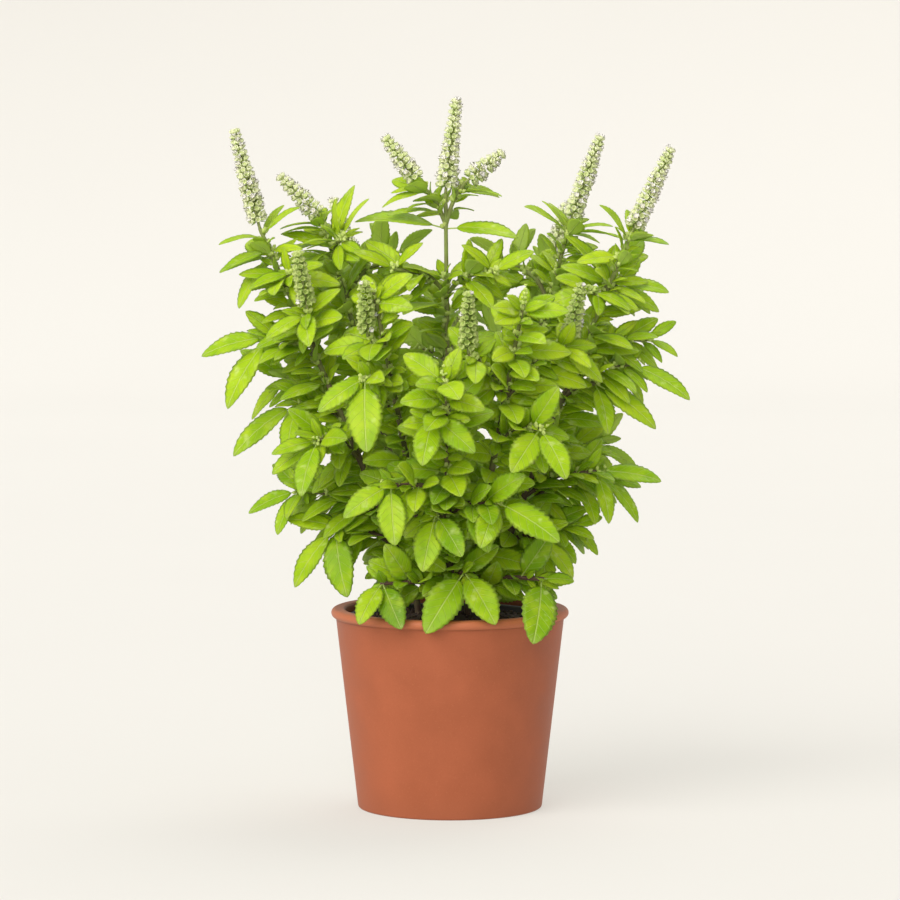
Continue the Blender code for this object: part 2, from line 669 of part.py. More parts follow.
def shoot_ways(stems, target, spike):
    """Ways for a side shoot to reach its target, the shortest that leave a stem well below it first."""
    ways = []
    for stem in stems:
        for share in FORK_SHARES:
            start, heading = along(stem.points, share)
            span = (target - start).length
            rise = target.z - start.z
            if start.z < LOWEST_SHOOT or rise < LEAST_RISE * span or span < SHORTEST_SHOOT:
                continue
            if spike and (target - start).angle(Vector(spike) - target) > SPIKE_LEAN:
                continue
            ways.append((span + RISE_WEIGHT * abs(rise - BEST_RISE * span), stem, start, heading))
    return sorted(ways, key=lambda way: way[0])


def side_shoot(stem, start, heading, target):
    """A shoot that leaves its stem along the stem's heading and curves out to the target."""
    span = (target - start).length
    middle = start + heading * (FORK_ALONG_STEM * span) + (target - start) * FORK_TOWARDS_END
    count = SHOOT_STEPS if span > STRAIGHT_SHOOT else 2
    points = bend(start, middle, target, count)
    radii = [SHOOT_RADIUS + (SHOOT_TIP_RADIUS - SHOOT_RADIUS) * i / (count - 1) for i in range(count)]
    return Shoot(points, radii, stem.node, "side")


def grow_shoots(room, stems):
    """All shoots by number, and the plan they follow: each one's end, end leaves' tips and spike's tip."""
    rng = random.Random(SEED)
    plan = [(Vector(tip), (), spike) for _, tip, spike in MAIN_STEMS]
    plan += [(Vector(end), tips, spike) for end, tips, spike in FRONT_SHOOTS]
    plan += [(end, (), None) for end in back_targets(rng)]
    for number, (end, _, spike) in enumerate(plan):
        if spike:
            axis = [end.lerp(Vector(spike), share) for share in (0, SPIKE_BARE_SHARE, 1)]
            room.take(-number, room.shape(*ring_prism(axis[:2], SPIKE_RADIUS + CLEAR_ROUND_STEM)))
            room.take(-number, room.shape(*ring_prism(axis[1:], SPIKE_REACH)))
    shoots = {}
    for number, (target, _, spike) in enumerate(plan):
        if number < len(stems):
            shoots[number] = stems[number]
        else:
            ways = (side_shoot(*way[1:], target) for way in shoot_ways(stems, target, spike))
            spaces = ((way, shoot_space(room, way, FORK_SHARE)) for way in ways)
            clear = (way for way, space in spaces if room.free(space, (-number, way.node)))
            shoots[number] = next(clear, None)
        if shoots[number]:
            room.take(number, shoot_space(room, shoots[number], 0))
    return {number: shoot for number, shoot in shoots.items() if shoot}, plan


def shoot_space(room, shoot, start):
    """The room a shoot needs from a share of its length on."""
    path = [along(shoot.points, start + (1 - start) * i / STEM_STEPS)[0] for i in range(STEM_STEPS + 1)]
    return room.shape(*ring_prism(path, max(shoot.radii) + CLEAR_ROUND_STEM))


def ramp(value, start, over):
    """How far a value has come from a start over a distance, from 0 to 1."""
    return min(1.0, max(0.0, (value - start) / over))


def new_leaf(number, base, tip, up_hint):
    """A leaf from a point on a shoot's middle line to a tip, with its upper face towards the hint."""
    chord = tip - base
    up = (up_hint - chord * (up_hint.dot(chord) / chord.length_squared)).normalized()
    outer = max(ramp(abs(tip.x), *NARROWER_OUT), ramp(tip.z, *NARROWER_UP))
    return Leaf(base, tip, up, chord.length * (LEAF_WIDTH_SHARE - NARROWER * outer), LEAF_FOLD, number)


def outward(point):
    """The level direction away from the pot's axis."""
    return Vector((point.x, point.y, 0)).normalized() if point.xy.length > GAP else Vector((0, -1, 0))


def turned_about(direction, axis, angle):
    """The direction turned about an axis."""
    c, s = math.cos(angle), math.sin(angle)
    return direction * c + axis.cross(direction) * s + axis * (axis.dot(direction) * (1 - c))


def place_leaf(room, leaves, number, base, tip, turns):
    """Puts the leaf at the first turn that leaves it clear of the rest, a little shorter if need be."""
    start = Vector(base)
    front = Vector((0, -1 if start.y < BACK_HALF else 1, 0))
    turned_front = FACES_FRONT - CROWN_FACES_LESS * ramp(start.z, *CROWN_FACES)
    up = Vector((0, 0, FACES_UP)) + outward(start) * FACES_OUT + front * turned_front
    for shrink in LEAF_SHRINKS:
        for swing, lift in turns:
            chord = turned_about(tip - start, Vector((0, 0, 1)), swing) * shrink
            chord.z += lift * chord.length
            leaf = new_leaf(number, start, start + chord, up)
            shape = room.shape(*blade(leaf, LEAF_CLEAR_THICK, STALK_IN_STEM / chord.length))
            if room.free(shape, (number,)):
                room.take(LEAF_OWNER, shape)
                leaves.append(leaf)
                return


def is_bare(number, point):
    return number == 0 and BARE_LOW < point.z < BARE_HIGH


def leaf_pairs(room, shoots, leaves, number, shares, rng, longest):
    """Opposite leaves at shares of a shoot's length, each pair turned a quarter from the last."""
    shoot = shoots[number]
    quarter = rng.uniform(0, math.pi)
    for order, share in enumerate(shares):
        point, heading = along(shoot.points, share)
        side = turned_about(heading.orthogonal().normalized(), heading, quarter + order * math.pi / 2)
        droop = DROOP - DROOP_LOST * max(0.0, point.z - DROOP_HEIGHT)
        for way in (1, -1):
            aim = heading * LEAF_FORWARD + side * way + outward(point) * rng.uniform(*LEAF_OUTWARD)
            aim.z += rng.uniform(-LEAF_TILT, LEAF_TILT) - droop
            size = END_PAIR_SIZE if share > END_PAIR_FROM else 1
            tip = point + aim.normalized() * (longest * rng.uniform(SHORTEST_SHARE, 1) * size)
            on_rim = tip.z < SKIRT_HEIGHT and tip.xy.length < SKIRT_RADIUS
            if tip.z < LEAF_TOP and not on_rim and not is_bare(number, point):
                place_leaf(room, leaves, number, point, tip, RULE_TURNS)


def grow_leaves(room, shoots, plan):
    """Leaves whose tips were chosen by hand first, then the pairs along the shoots."""
    leaves, rng = [], random.Random(SEED + 1)
    chosen = [(number, END_LEAF_ROOT, plan[number][1]) for number in shoots]
    for number, from_end, tips in (*CROWN_LEAVES, *chosen):
        points = shoots[number].points
        root, _ = along(points, 1 - from_end / path_length(points))
        for tip in tips:
            place_leaf(room, leaves, number, root, Vector(tip), HERO_TURNS)
    for number, shoot in shoots.items():
        length = path_length(shoot.points)
        _, tips, spike = plan[number]
        if shoot.kind == "main":
            steps = PAIRS_ON_STEM
        elif tips:
            steps = PAIRS_BELOW_TIPS
        else:
            steps = PAIRS_BELOW_SPIKE if spike else PAIRS_ON_SHOOT
        shares = [1 - step / length for step in steps if step < length - BARE_FOOT]
        longest = LONGEST_ON_STEM if shoot.kind == "main" else LONGEST_ON_SHOOT
        leaf_pairs(room, shoots, leaves, number, shares, rng, longest)
    return leaves


def make_leafy_stem(node, shoots, leaves, collection):
    """One stem with its side shoots and leaves grown together."""
    name = f"stem_{node + 1:02d}"
    mine = [number for number, shoot in shoots.items() if shoot.node == node]
    body = tube(name, shoots[mine[0]].points, shoots[mine[0]].radii, 4, collection)
    growth = helper_collection(f"{name}_growth")
    for number in mine[1:]:
        tube(f"{name}_shoot_{number}", shoots[number].points, shoots[number].radii, 4, growth)
    for order, leaf in enumerate(leaf for leaf in leaves if leaf.shoot in mine):
        points, faces = blade(leaf, LEAF_THICK, ROOT_SHARE)
        settled(mesh_object(f"{name}_leaf_{order}", points, faces, growth))
    return thin_joints(boolean(body, growth, "UNION", JOINING))


def make_spike(name, base, stem_heading, tip, collection):
    """A flower spike: a thin stalk with whorls of calyces, which get smaller towards its end."""
    axis = tip - base
    heading = axis.normalized()
    lean = stem_heading.angle(heading)
    start = base + heading * ((GAP + SPIKE_RADIUS * math.sin(lean)) / math.cos(lean))
    middle_radius = (SPIKE_RADIUS + SPIKE_TIP_RADIUS) / 2
    radii = [SPIKE_RADIUS, middle_radius, SPIKE_TIP_RADIUS]
    body = tube(name, [start, start.lerp(tip, 0.5), tip], radii, 4, collection)
    side = heading.orthogonal().normalized()
    growth = helper_collection(f"{name}_growth")
    whorls = max(3, round((axis.length - SPIKE_FOOT) / WHORL_SPACING))
    for whorl in range(whorls):
        from_start = SPIKE_FOOT + (axis.length - SPIKE_FOOT - TOP_WHORL) * whorl / (whorls - 1)
        share = from_start / axis.length
        for k in range(CALYCES_IN_A_WHORL):
            angle = 2 * math.pi * (k + 0.5 * (whorl % 2)) / CALYCES_IN_A_WHORL + WHORL_TURN
            away = turned_about(side, heading, angle)
            aim = (away + heading * (CALYX_LEAN + CALYX_LEAN_GAINED * share)).normalized()
            calyx(f"{name}_calyx_{whorl}_{k}", start.lerp(tip, share), aim, 1 - WHORL_SHRINK * share, growth)
    return thin_joints(boolean(body, growth, "UNION", JOINING))


def calyx(name, root, aim, size, collection):
    """One calyx: a small three-sided cup that widens outwards."""
    solid = bmesh.new()
    foot, mouth, length = (measure * size for measure in (CALYX_FOOT, CALYX_MOUTH, CALYX_LENGTH))
    bmesh.ops.create_cone(solid, cap_ends=True, segments=3, radius1=foot, radius2=mouth, depth=length)
    mesh = bpy.data.meshes.new(name)
    solid.to_mesh(mesh)
    solid.free()
    made = new_object(name, mesh, collection)
    made.rotation_mode = "QUATERNION"
    made.rotation_quaternion = aim.to_track_quat("Z", "Y")
    made.location = root + aim * (length / 2 + CALYX_STARTS)
    return made


def finish(obj, look):
    obj.data.materials.clear()
    obj.data.materials.append(look)
    obj.data.shade_smooth()
    obj.data.set_sharp_from_angle(angle=SMOOTH_ANGLE)


def main():
    for obj in list(bpy.data.objects):
        bpy.data.objects.remove(obj)
    collection = bpy.data.collections.new(OBJECT_NAME)
    bpy.context.scene.collection.children.link(collection)

    finish(settled(make_pot(collection)), material("terracotta", TERRACOTTA, 0.5))
    finish(make_liner(collection), material("black_plastic", BLACK_PLASTIC, 0.45))
    finish(make_soil([foot for foot, _, _ in MAIN_STEMS], collection), material("soil", SOIL_BROWN, 0.95))

    room = Room()
    stems = [main_stem(node, foot, tip) for node, (foot, tip, _) in enumerate(MAIN_STEMS)]
    shoots, plan = grow_shoots(room, stems)
    leaves = grow_leaves(room, shoots, plan)
    green = material("leaf", LEAF_GREEN, 0.5)
    for node in range(len(stems)):
        finish(make_leafy_stem(node, shoots, leaves, collection), green)
    pale = material("spike", SPIKE_GREEN, 0.7)
    spikes = [(*along(shoots[n].points, 1.0), Vector(plan[n][2])) for n in shoots if plan[n][2]]
    for order, (base, heading, tip) in enumerate(spikes):
        finish(make_spike(f"spike_{order + 1:02d}", base, heading, tip, collection), pale)


main()
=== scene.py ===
"""Looks of the potted holy basil: fine stems, leaves, flower spikes, pot, soil, light and camera."""

import math
import random
from collections import namedtuple

import bmesh
import bpy
import numpy as np
from mathutils import Matrix, Vector, noise
from mathutils.bvhtree import BVHTree

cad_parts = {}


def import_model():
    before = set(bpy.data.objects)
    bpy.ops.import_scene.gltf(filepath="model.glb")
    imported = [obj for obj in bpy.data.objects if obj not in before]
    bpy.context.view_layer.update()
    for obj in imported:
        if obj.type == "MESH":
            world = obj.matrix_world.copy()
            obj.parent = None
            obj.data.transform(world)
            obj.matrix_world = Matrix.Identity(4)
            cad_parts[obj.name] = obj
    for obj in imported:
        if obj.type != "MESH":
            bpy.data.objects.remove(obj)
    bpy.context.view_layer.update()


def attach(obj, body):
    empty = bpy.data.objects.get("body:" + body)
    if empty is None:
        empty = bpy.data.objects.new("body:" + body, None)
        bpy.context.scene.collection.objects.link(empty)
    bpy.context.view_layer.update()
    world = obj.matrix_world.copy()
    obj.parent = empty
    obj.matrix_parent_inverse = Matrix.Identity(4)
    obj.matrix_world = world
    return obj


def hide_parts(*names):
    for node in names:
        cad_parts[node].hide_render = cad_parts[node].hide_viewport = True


# Outer pot
RIM_RADIUS = 0.080
RIM_INNER_RADIUS = 0.0706
RIM_THICK = 0.0062
POT_HEIGHT = 0.135
FOOT_RADIUS = 0.0622
SHOULDER_RADIUS = 0.0768
POT_WALL = 0.0035
POT_FLOOR = 0.004
FOOT_ROUND = 0.0015

# Nursery pot inside it
GAP = 0.0003
LINER_TOP = 0.1300
LINER_LIP_RADIUS = 0.0692
LINER_LIP_THICK = 0.0022
LINER_TOP_RADIUS = 0.0676
LINER_FOOT_RADIUS = 0.0560
LINER_WALL = 0.0012
DRAIN_RADIUS = 0.0045
DRAIN_CIRCLE_RADIUS = 0.038
DRAINS = 4

# Potting mix
SOIL_EDGE_HEIGHT = 0.1240
SOIL_HEAP = 0.0090
SOIL_LUMP = 0.0022
SOIL_LUMP_SPACING = 0.011

# Stems
STEM_DEPTH = 0.026
STEM_RADIUS = 0.0026
STEM_TIP_RADIUS = 0.0013
SHOOT_RADIUS = 0.0015
SHOOT_TIP_RADIUS = 0.0013
STRAIGHT_ABOVE_SOIL = 0.006
# Where a stem bends between its foot and tip, and how far up it bulges for each metre it leans
STEM_BEND_SHARE = 0.45
STEM_BULGE = 0.10
STEM_STEPS = 8
SHOOT_STEPS = 3
# Shares of its span that a side shoot runs along its stem, and then towards its end, before it bends
FORK_ALONG_STEM = 0.30
FORK_TOWARDS_END = 0.25
FORK_SHARES = [i / 100 for i in range(12, 96, 3)]
LOWEST_SHOOT = POT_HEIGHT + 0.006
SHORTEST_SHOOT = 0.008
STRAIGHT_SHOOT = 0.020
# Rise of a side shoot as a share of its span: the least, the best, and how much a miss of the best counts
LEAST_RISE, BEST_RISE, RISE_WEIGHT = 0.25, 0.6, 0.5
# Share of a side shoot next to its stem that needs no room of its own
FORK_SHARE = 0.25
SPIKE_LEAN = math.radians(40)
CLEAR_ROUND_STEM = 0.0008

# Leaves
LEAF_CLEAR_THICK = 0.0022
# Width as a share of length, and how much less it is on leaves that end far out or high up: from, over, less
LEAF_WIDTH_SHARE = 0.48
NARROWER_OUT, NARROWER_UP, NARROWER = (0.05, 0.06), (0.32, 0.06), 0.11
STALK_HALF_WIDTH = 0.0005
# Stalks start a little behind the stem's middle line, so that opposite ones overlap there
LEAF_FOLD = 0.16
LEAF_ARCH = 0.065
# Outline of a half blade, with its teeth: share of the way to the tip, then share of the widest half width
LEAF_MARGIN = ((0.17, 0.13), (0.34, 0.84), (0.53, 1.00), (0.60, 0.82), (0.79, 0.62))
LEAF_MIDRIB = (0.38, 0.70)
LONGEST_ON_STEM = 0.042
LONGEST_ON_SHOOT = 0.038
# Where leaf pairs grow, as distances back from the end of a stem or shoot
PAIRS_ON_STEM = (0.007, 0.040, 0.075)
PAIRS_ON_SHOOT = (0.003, 0.028)
END_LEAF_ROOT = 0.0016
PAIRS_BELOW_SPIKE = (0.007,)
PAIRS_BELOW_TIPS = (0.022, 0.048)

BARE_FOOT = 0.008
# Heights between which the middle stem shows bare
BARE_LOW, BARE_HIGH = 0.350, 0.388
# Where a leaf's upper face looks: up, away from the axis, and to the front (to the back behind BACK_HALF)
FACES_UP, FACES_OUT, FACES_FRONT = 0.75, 0.55, 0.75
BACK_HALF = 0.03
# Leaves turn to the front less in the crown: from, over, and how much less
CROWN_FACES, CROWN_FACES_LESS = (0.345, 0.04), 0.45
# A leaf's aim: along its shoot, away from the axis, and up or down by chance
LEAF_FORWARD, LEAF_OUTWARD, LEAF_TILT = 0.45, (0.3, 0.7), 0.2
# How far leaves droop low on the plant, and how much less they do for each metre above a height
DROOP, DROOP_LOST, DROOP_HEIGHT = 0.55, 1.9, 0.24
SHORTEST_SHARE = 0.78
END_PAIR_FROM, END_PAIR_SIZE = 0.97, 0.82
LEAF_TOP = 0.424
# Leaves of the rule end neither on the rim nor inside it
SKIRT_HEIGHT, SKIRT_RADIUS = 0.150, 0.092
STALK_IN_STEM = 0.0032
# Swings about the vertical and lifts that a leaf may take to find room, and how short it may get
LEAF_SHRINKS = (1.0, 0.88)
HERO_STEPS = ((0, 0), (1, 0), (-1, 0), (0, 1), (0, -1), (2, 1), (-2, 1), (3, 0), (-3, 0))
HERO_TURNS = [(swing * 0.12, lift * 0.10) for swing, lift in HERO_STEPS]
RULE_TURNS = [(swing * 0.22, lift * 0.16) for swing in (0, 1, -1, 2, -2, 3, -3) for lift in (0, 1, -1)]

# Flower spikes
SPIKE_RADIUS = 0.0011
SPIKE_REACH = 0.0077
SPIKE_BARE_SHARE = 0.1
SPIKE_FOOT = 0.005
# How much smaller the last whorl's calyces are, and how they lean towards the tip: the first, then the change
CALYX_LEAN, CALYX_LEAN_GAINED = 0.25, 1.1


LEAF_OWNER = None
SEED = 27

Shoot = namedtuple("Shoot", "points radii node kind")
Leaf = namedtuple("Leaf", "base tip up width fold shoot")

# Each stem from the soil: where it stands, where its leafy part ends, and the tip of its flower spike
MAIN_STEMS = (
    ((0.000, 0.002), (-0.003, 0.000, 0.414), (0.004, 0.000, 0.474)),
    ((-0.022, -0.004), (-0.127, -0.010, 0.391), (-0.143, -0.012, 0.454)),
    ((-0.014, 0.014), (-0.086, 0.020, 0.396), (-0.113, 0.024, 0.423)),
    ((0.014, 0.012), (0.081, 0.016, 0.394), (0.100, 0.018, 0.449)),
    ((0.023, -0.003), (0.121, -0.014, 0.388), (0.146, -0.016, 0.442)),
    ((-0.011, -0.016), (-0.050, -0.072, 0.352), None),
    ((0.012, -0.017), (0.048, -0.082, 0.345), None),
    ((-0.013, 0.031), (-0.068, 0.092, 0.368), (-0.080, 0.104, 0.404)),
    ((0.016, 0.030), (0.070, 0.096, 0.364), (0.080, 0.108, 0.400)),
    ((0.001, -0.029), (-0.004, -0.104, 0.300), None),
    ((0.002, 0.040), (0.002, 0.124, 0.330), None),
)

# Leaves that shape the crown: the stem, how far below its end, and the leaves' tips
CROWN_LEAVES = (
    (0, 0.013, ((-0.038, -0.010, 0.417), (0.041, -0.008, 0.416))),
    (0, 0.024, ((-0.064, -0.006, 0.396), (0.046, -0.010, 0.386))),
    (1, 0.005, ((-0.149, -0.014, 0.406), (-0.100, -0.014, 0.406))),
    (1, 0.017, ((-0.154, -0.016, 0.362), (-0.098, -0.022, 0.378))),
    (3, 0.008, ((0.050, -0.004, 0.406), (0.117, -0.004, 0.384))),
    (4, 0.006, ((0.100, -0.024, 0.408), (0.146, -0.020, 0.381))),
    (4, 0.018, ((0.084, -0.026, 0.369),)),
)

# Side shoots seen from the front and the sides: where each ends, its end leaves' tips and its spike's tip
FRONT_SHOOTS = (
    ((-0.072, -0.006, 0.384), ((-0.077, -0.010, 0.411), (-0.054, -0.014, 0.411)), None),
    ((-0.038, -0.014, 0.364), ((-0.018, -0.020, 0.382), (-0.064, -0.024, 0.376)), None),
    ((0.030, -0.014, 0.362), ((0.008, -0.020, 0.381), (0.056, -0.022, 0.376)), None),
    ((-0.104, -0.022, 0.362), ((-0.134, -0.030, 0.352), (-0.084, -0.038, 0.368)), None),
    ((0.094, -0.026, 0.350), ((0.070, -0.040, 0.360), (0.120, -0.038, 0.338)), None),
    ((-0.036, 0.034, 0.370), ((-0.054, 0.050, 0.392), (-0.012, 0.046, 0.388)), None),
    ((0.038, 0.038, 0.366), ((0.058, 0.054, 0.388), (0.014, 0.056, 0.382)), None),
    ((-0.020, 0.000, 0.420), (), (-0.042, 0.002, 0.449)),
    ((0.010, 0.001, 0.421), (), (0.033, 0.004, 0.439)),
    ((-0.122, -0.006, 0.318), ((-0.167, -0.008, 0.306), (-0.149, -0.022, 0.271)), None),
    ((-0.103, 0.004, 0.273), ((-0.147, 0.000, 0.238), (-0.112, -0.022, 0.240)), None),
    ((-0.103, 0.002, 0.214), ((-0.136, 0.000, 0.199), (-0.116, -0.016, 0.186)), None),
    ((-0.078, -0.012, 0.190), ((-0.105, -0.012, 0.150), (-0.072, -0.036, 0.146)), None),
    ((-0.120, 0.004, 0.372), ((-0.155, -0.004, 0.362), (-0.141, -0.020, 0.338)), None),
    ((0.112, -0.004, 0.354), ((0.147, -0.008, 0.349), (0.128, 0.010, 0.370)), None),
    ((0.134, 0.002, 0.316), ((0.152, 0.004, 0.328), (0.153, -0.004, 0.305)), None),
    ((0.122, -0.010, 0.300), ((0.161, -0.016, 0.277), (0.133, 0.020, 0.288)), None),
    ((0.098, -0.018, 0.288), ((0.138, -0.024, 0.258), (0.108, -0.042, 0.256)), None),
    ((0.099, -0.008, 0.228), ((0.142, -0.012, 0.222), (0.107, -0.022, 0.194)), None),
    ((0.106, 0.014, 0.221), ((0.128, 0.008, 0.192), (0.130, 0.030, 0.214)), None),
    ((0.083, -0.004, 0.190), ((0.100, -0.004, 0.171), (0.103, 0.006, 0.196)), None),
    ((0.060, -0.026, 0.186), ((0.064, -0.036, 0.148), (0.083, -0.024, 0.154)), None),
    ((-0.056, -0.090, 0.296), ((-0.054, -0.116, 0.250), (-0.086, -0.104, 0.276)), None),
    ((-0.012, -0.098, 0.272), ((-0.018, -0.122, 0.242), (0.014, -0.118, 0.250)), None),
    ((-0.040, -0.086, 0.226), ((-0.036, -0.104, 0.188), (-0.070, -0.096, 0.206)), None),
    ((-0.010, -0.076, 0.206), ((-0.018, -0.096, 0.170), (0.008, -0.098, 0.176)), None),
    ((0.032, -0.078, 0.214), ((0.072, -0.096, 0.190), (0.020, -0.100, 0.186)), None),
    ((0.060, -0.078, 0.262), ((0.076, -0.104, 0.232), (0.040, -0.104, 0.236)), None),
    ((-0.088, -0.052, 0.252), ((-0.098, -0.078, 0.218), (-0.118, -0.058, 0.244)), None),
    ((0.010, -0.062, 0.166), ((0.030, -0.086, 0.134), (-0.006, -0.092, 0.128)), None),
    ((0.036, -0.066, 0.154), ((0.018, -0.094, 0.112), (0.044, -0.094, 0.110)), None),
    ((-0.046, -0.058, 0.158), ((-0.032, -0.084, 0.131), (-0.060, -0.082, 0.130)), None),
    ((0.062, -0.050, 0.160), ((0.055, -0.088, 0.122), (0.083, -0.042, 0.158)), None),
    ((-0.054, -0.066, 0.322), (), (-0.056, -0.080, 0.356)),
    ((0.012, -0.080, 0.312), (), (0.012, -0.092, 0.350)),
    ((-0.094, -0.046, 0.338), (), (-0.100, -0.054, 0.374)),
    ((0.078, -0.056, 0.318), (), (0.086, -0.064, 0.354)),
)

# Side shoots of the back, which a golden-angle rule spreads over the bush
BACK_SHOOTS = 13
BACK_FROM, BACK_TO = math.radians(4), math.radians(176)
BACK_LOW, BACK_HIGH = 0.176, 0.368
GOLDEN = 0.6180339887
# Half width of the bush at the ends of its shoots: height, then radius
BUSH_PROFILE = ((0.16, 0.072), (0.20, 0.102), (0.25, 0.116), (0.31, 0.122), (0.36, 0.112), (0.40, 0.080))

# Finer stems
RING_SPACING = 0.003
NODE_SWELL = 0.22
NODE_SPREAD = 0.0014
STEM_EDGE = 0.07

# Finer leaves
FINE_THICK = 0.0006
FIRST_TOOTH, LAST_TOOTH = 0.28, 0.93
TOOTH_OUT, TOOTH_IN = 1.035, 0.93
BLADE_FROM = 0.155
# How finely a blade is made: from what length on, its teeth, and where across it the points stand
BLADE_GRADES = (
    (0.032, 9, (-1, -0.70, -0.33, 0, 0.33, 0.70, 1)),
    (0.020, 6, (-1, -0.58, 0, 0.58, 1)),
    (0.0, 3, (-1, -0.58, 0, 0.58, 1)),
)
STALK_SIDES = 4
STALK_SHARES = np.array((-0.012, 0.06, 0.15, 0.22, 0.42, 0.68, 0.93))
STALK_RADII = np.array((0.62, 0.55, 0.50, 0.45, 0.36, 0.22, 0.07)) * 0.001
STALK_SINK = np.array((0, 0, 0.14, 0.20, 0.24, 0.22, 0.16)) * 0.001

# Leaves that the solids leave out
BUSH = ((0.130, 0.050), (0.150, 0.082), (0.175, 0.108), (0.205, 0.128), (0.240, 0.142), (0.300, 0.150),
        (0.350, 0.148), (0.385, 0.138), (0.405, 0.112), (0.420, 0.060), (0.432, 0.020))
BUSH_DEPTH = 0.90
# They grow from this height up, and not to the dark middle of the bush
FILL_ABOVE = 0.150
FILL_MIDDLE_TO = 0.358
HOLLOW_TOP, HOLLOW_RADIUS = 0.31, 0.036

# Flower spikes
FINE_WHORL = 0.0036
FLOWERS_IN_A_WHORL = 6
# Young spikes, still in bud: the lengths tried, and their half width
YOUNG_SPIKES = (0.013, 0.010, 0.008)
YOUNG_REACH = 0.0028
YOUNG_WHORL = 0.0024
BUD_AGE = 2.0
BUDS_IN_A_TUFT = 5
# How much younger and lighter the crown's leaves look, partly young growth and partly painted top light, and how much
# older those that end furthest out
YOUNGER_AND_TOPLIT_UP, OLDER_OUT = 0.62, 0.35

# Camera: the photo's frame is VIEW_WIDTH wide at the plant
CAMERA_DISTANCE = 3.2
CAMERA_TILT = 5.0
VIEW_WIDTH = 0.6048
VIEW_HEIGHT = 0.2415

# Distant soft lights: name, where from, strength, width in degrees, colour
LIGHTS = (
    ("key", (-0.78, -1.0, 1.0), 2.6, 50, (1.0, 0.975, 0.93)),
    ("front", (-0.1, -1.0, 0.24), 1.15, 30, (1.0, 0.985, 0.95)),
    ("back", (0.4, 0.8, 1.6), 1.15, 40, (1.0, 0.98, 0.93)),
)
WORLD_COLOUR = (1.0, 0.985, 0.95)
WORLD_STRENGTH = 0.64
# Bowl that the pot stands in: its level floor, its sweep and its height
FLOOR_REACH, SWEEP, BOWL_HEIGHT = 3.5, 1.0, 1.3
PALE = (0.31, 0.307, 0.30)
FLOOR_GLOW, WALL_GLOW = (0.465, 0.447, 0.407), (0.400, 0.380, 0.340)
WALL_FROM, WALL_TO = 0.02, 0.60


def liner_inner_radius(height):
    """Radius of the nursery pot's inner face at a height."""
    share = (height - POT_FLOOR) / (LINER_TOP - POT_FLOOR)
    return LINER_FOOT_RADIUS + share * (LINER_TOP_RADIUS - LINER_FOOT_RADIUS) - LINER_WALL


def soil_height(x, y):
    """Height of the potting mix: heaped towards the stems, with lumps."""
    share = min(1.0, math.hypot(x, y) / liner_inner_radius(SOIL_EDGE_HEIGHT))
    lump = noise.noise(Vector((x, y, 0.5)) / SOIL_LUMP_SPACING)
    return SOIL_EDGE_HEIGHT + SOIL_HEAP * (1 - share**2) + SOIL_LUMP * lump * (1 - share**4)


def bend(start, middle, end, count):
    """Points along a quadratic curve, both ends among them."""
    shares = [i / (count - 1) for i in range(count)]
    return [start * (1 - s) ** 2 + middle * 2 * s * (1 - s) + end * s**2 for s in shares]


def main_stem(node, foot, tip):
    """A stem that stands upright in the soil and then leans out to its tip."""
    ground = soil_height(*foot)
    low = Vector((*foot, ground - STEM_DEPTH + GAP))
    rise = Vector((*foot, ground + STRAIGHT_ABOVE_SOIL))
    tip = Vector(tip)
    middle = rise.lerp(tip, STEM_BEND_SHARE)
    middle.z += STEM_BULGE * (tip.xy - rise.xy).length
    points = [low, *bend(rise, middle, tip, STEM_STEPS)]
    shares = [0, *(i / (STEM_STEPS - 1) for i in range(STEM_STEPS))]
    radii = [STEM_RADIUS + s * (STEM_TIP_RADIUS - STEM_RADIUS) for s in shares]
    return Shoot(points, radii, node, "main")


def leaf_point(leaf, share):
    """A point on the midrib, with the blade's tangent and upward normal there."""
    chord = leaf.tip - leaf.base
    rise = LEAF_ARCH * chord.length * 4 * share * (1 - share)
    slope = LEAF_ARCH * chord.length * 4 * (1 - 2 * share)
    tangent = (chord + leaf.up * slope).normalized()
    side = tangent.cross(leaf.up).normalized()
    return leaf.base + chord * share + leaf.up * rise, side, side.cross(tangent)


def zipped(first, second):
    """Triangles between two rows of (share, vertex) that start side by side and end at one vertex."""
    faces, i, j = [], 0, 0
    while i < len(first) - 1 or j < len(second) - 1:
        if j == len(second) - 1 or (i < len(first) - 1 and first[i + 1][0] <= second[j + 1][0]):
            face = (first[i][1], first[i + 1][1], second[j][1])
            i += 1
        else:
            face = (first[i][1], second[j + 1][1], second[j][1])
            j += 1
        if len(set(face)) == 3:
            faces.append(face)
    return faces


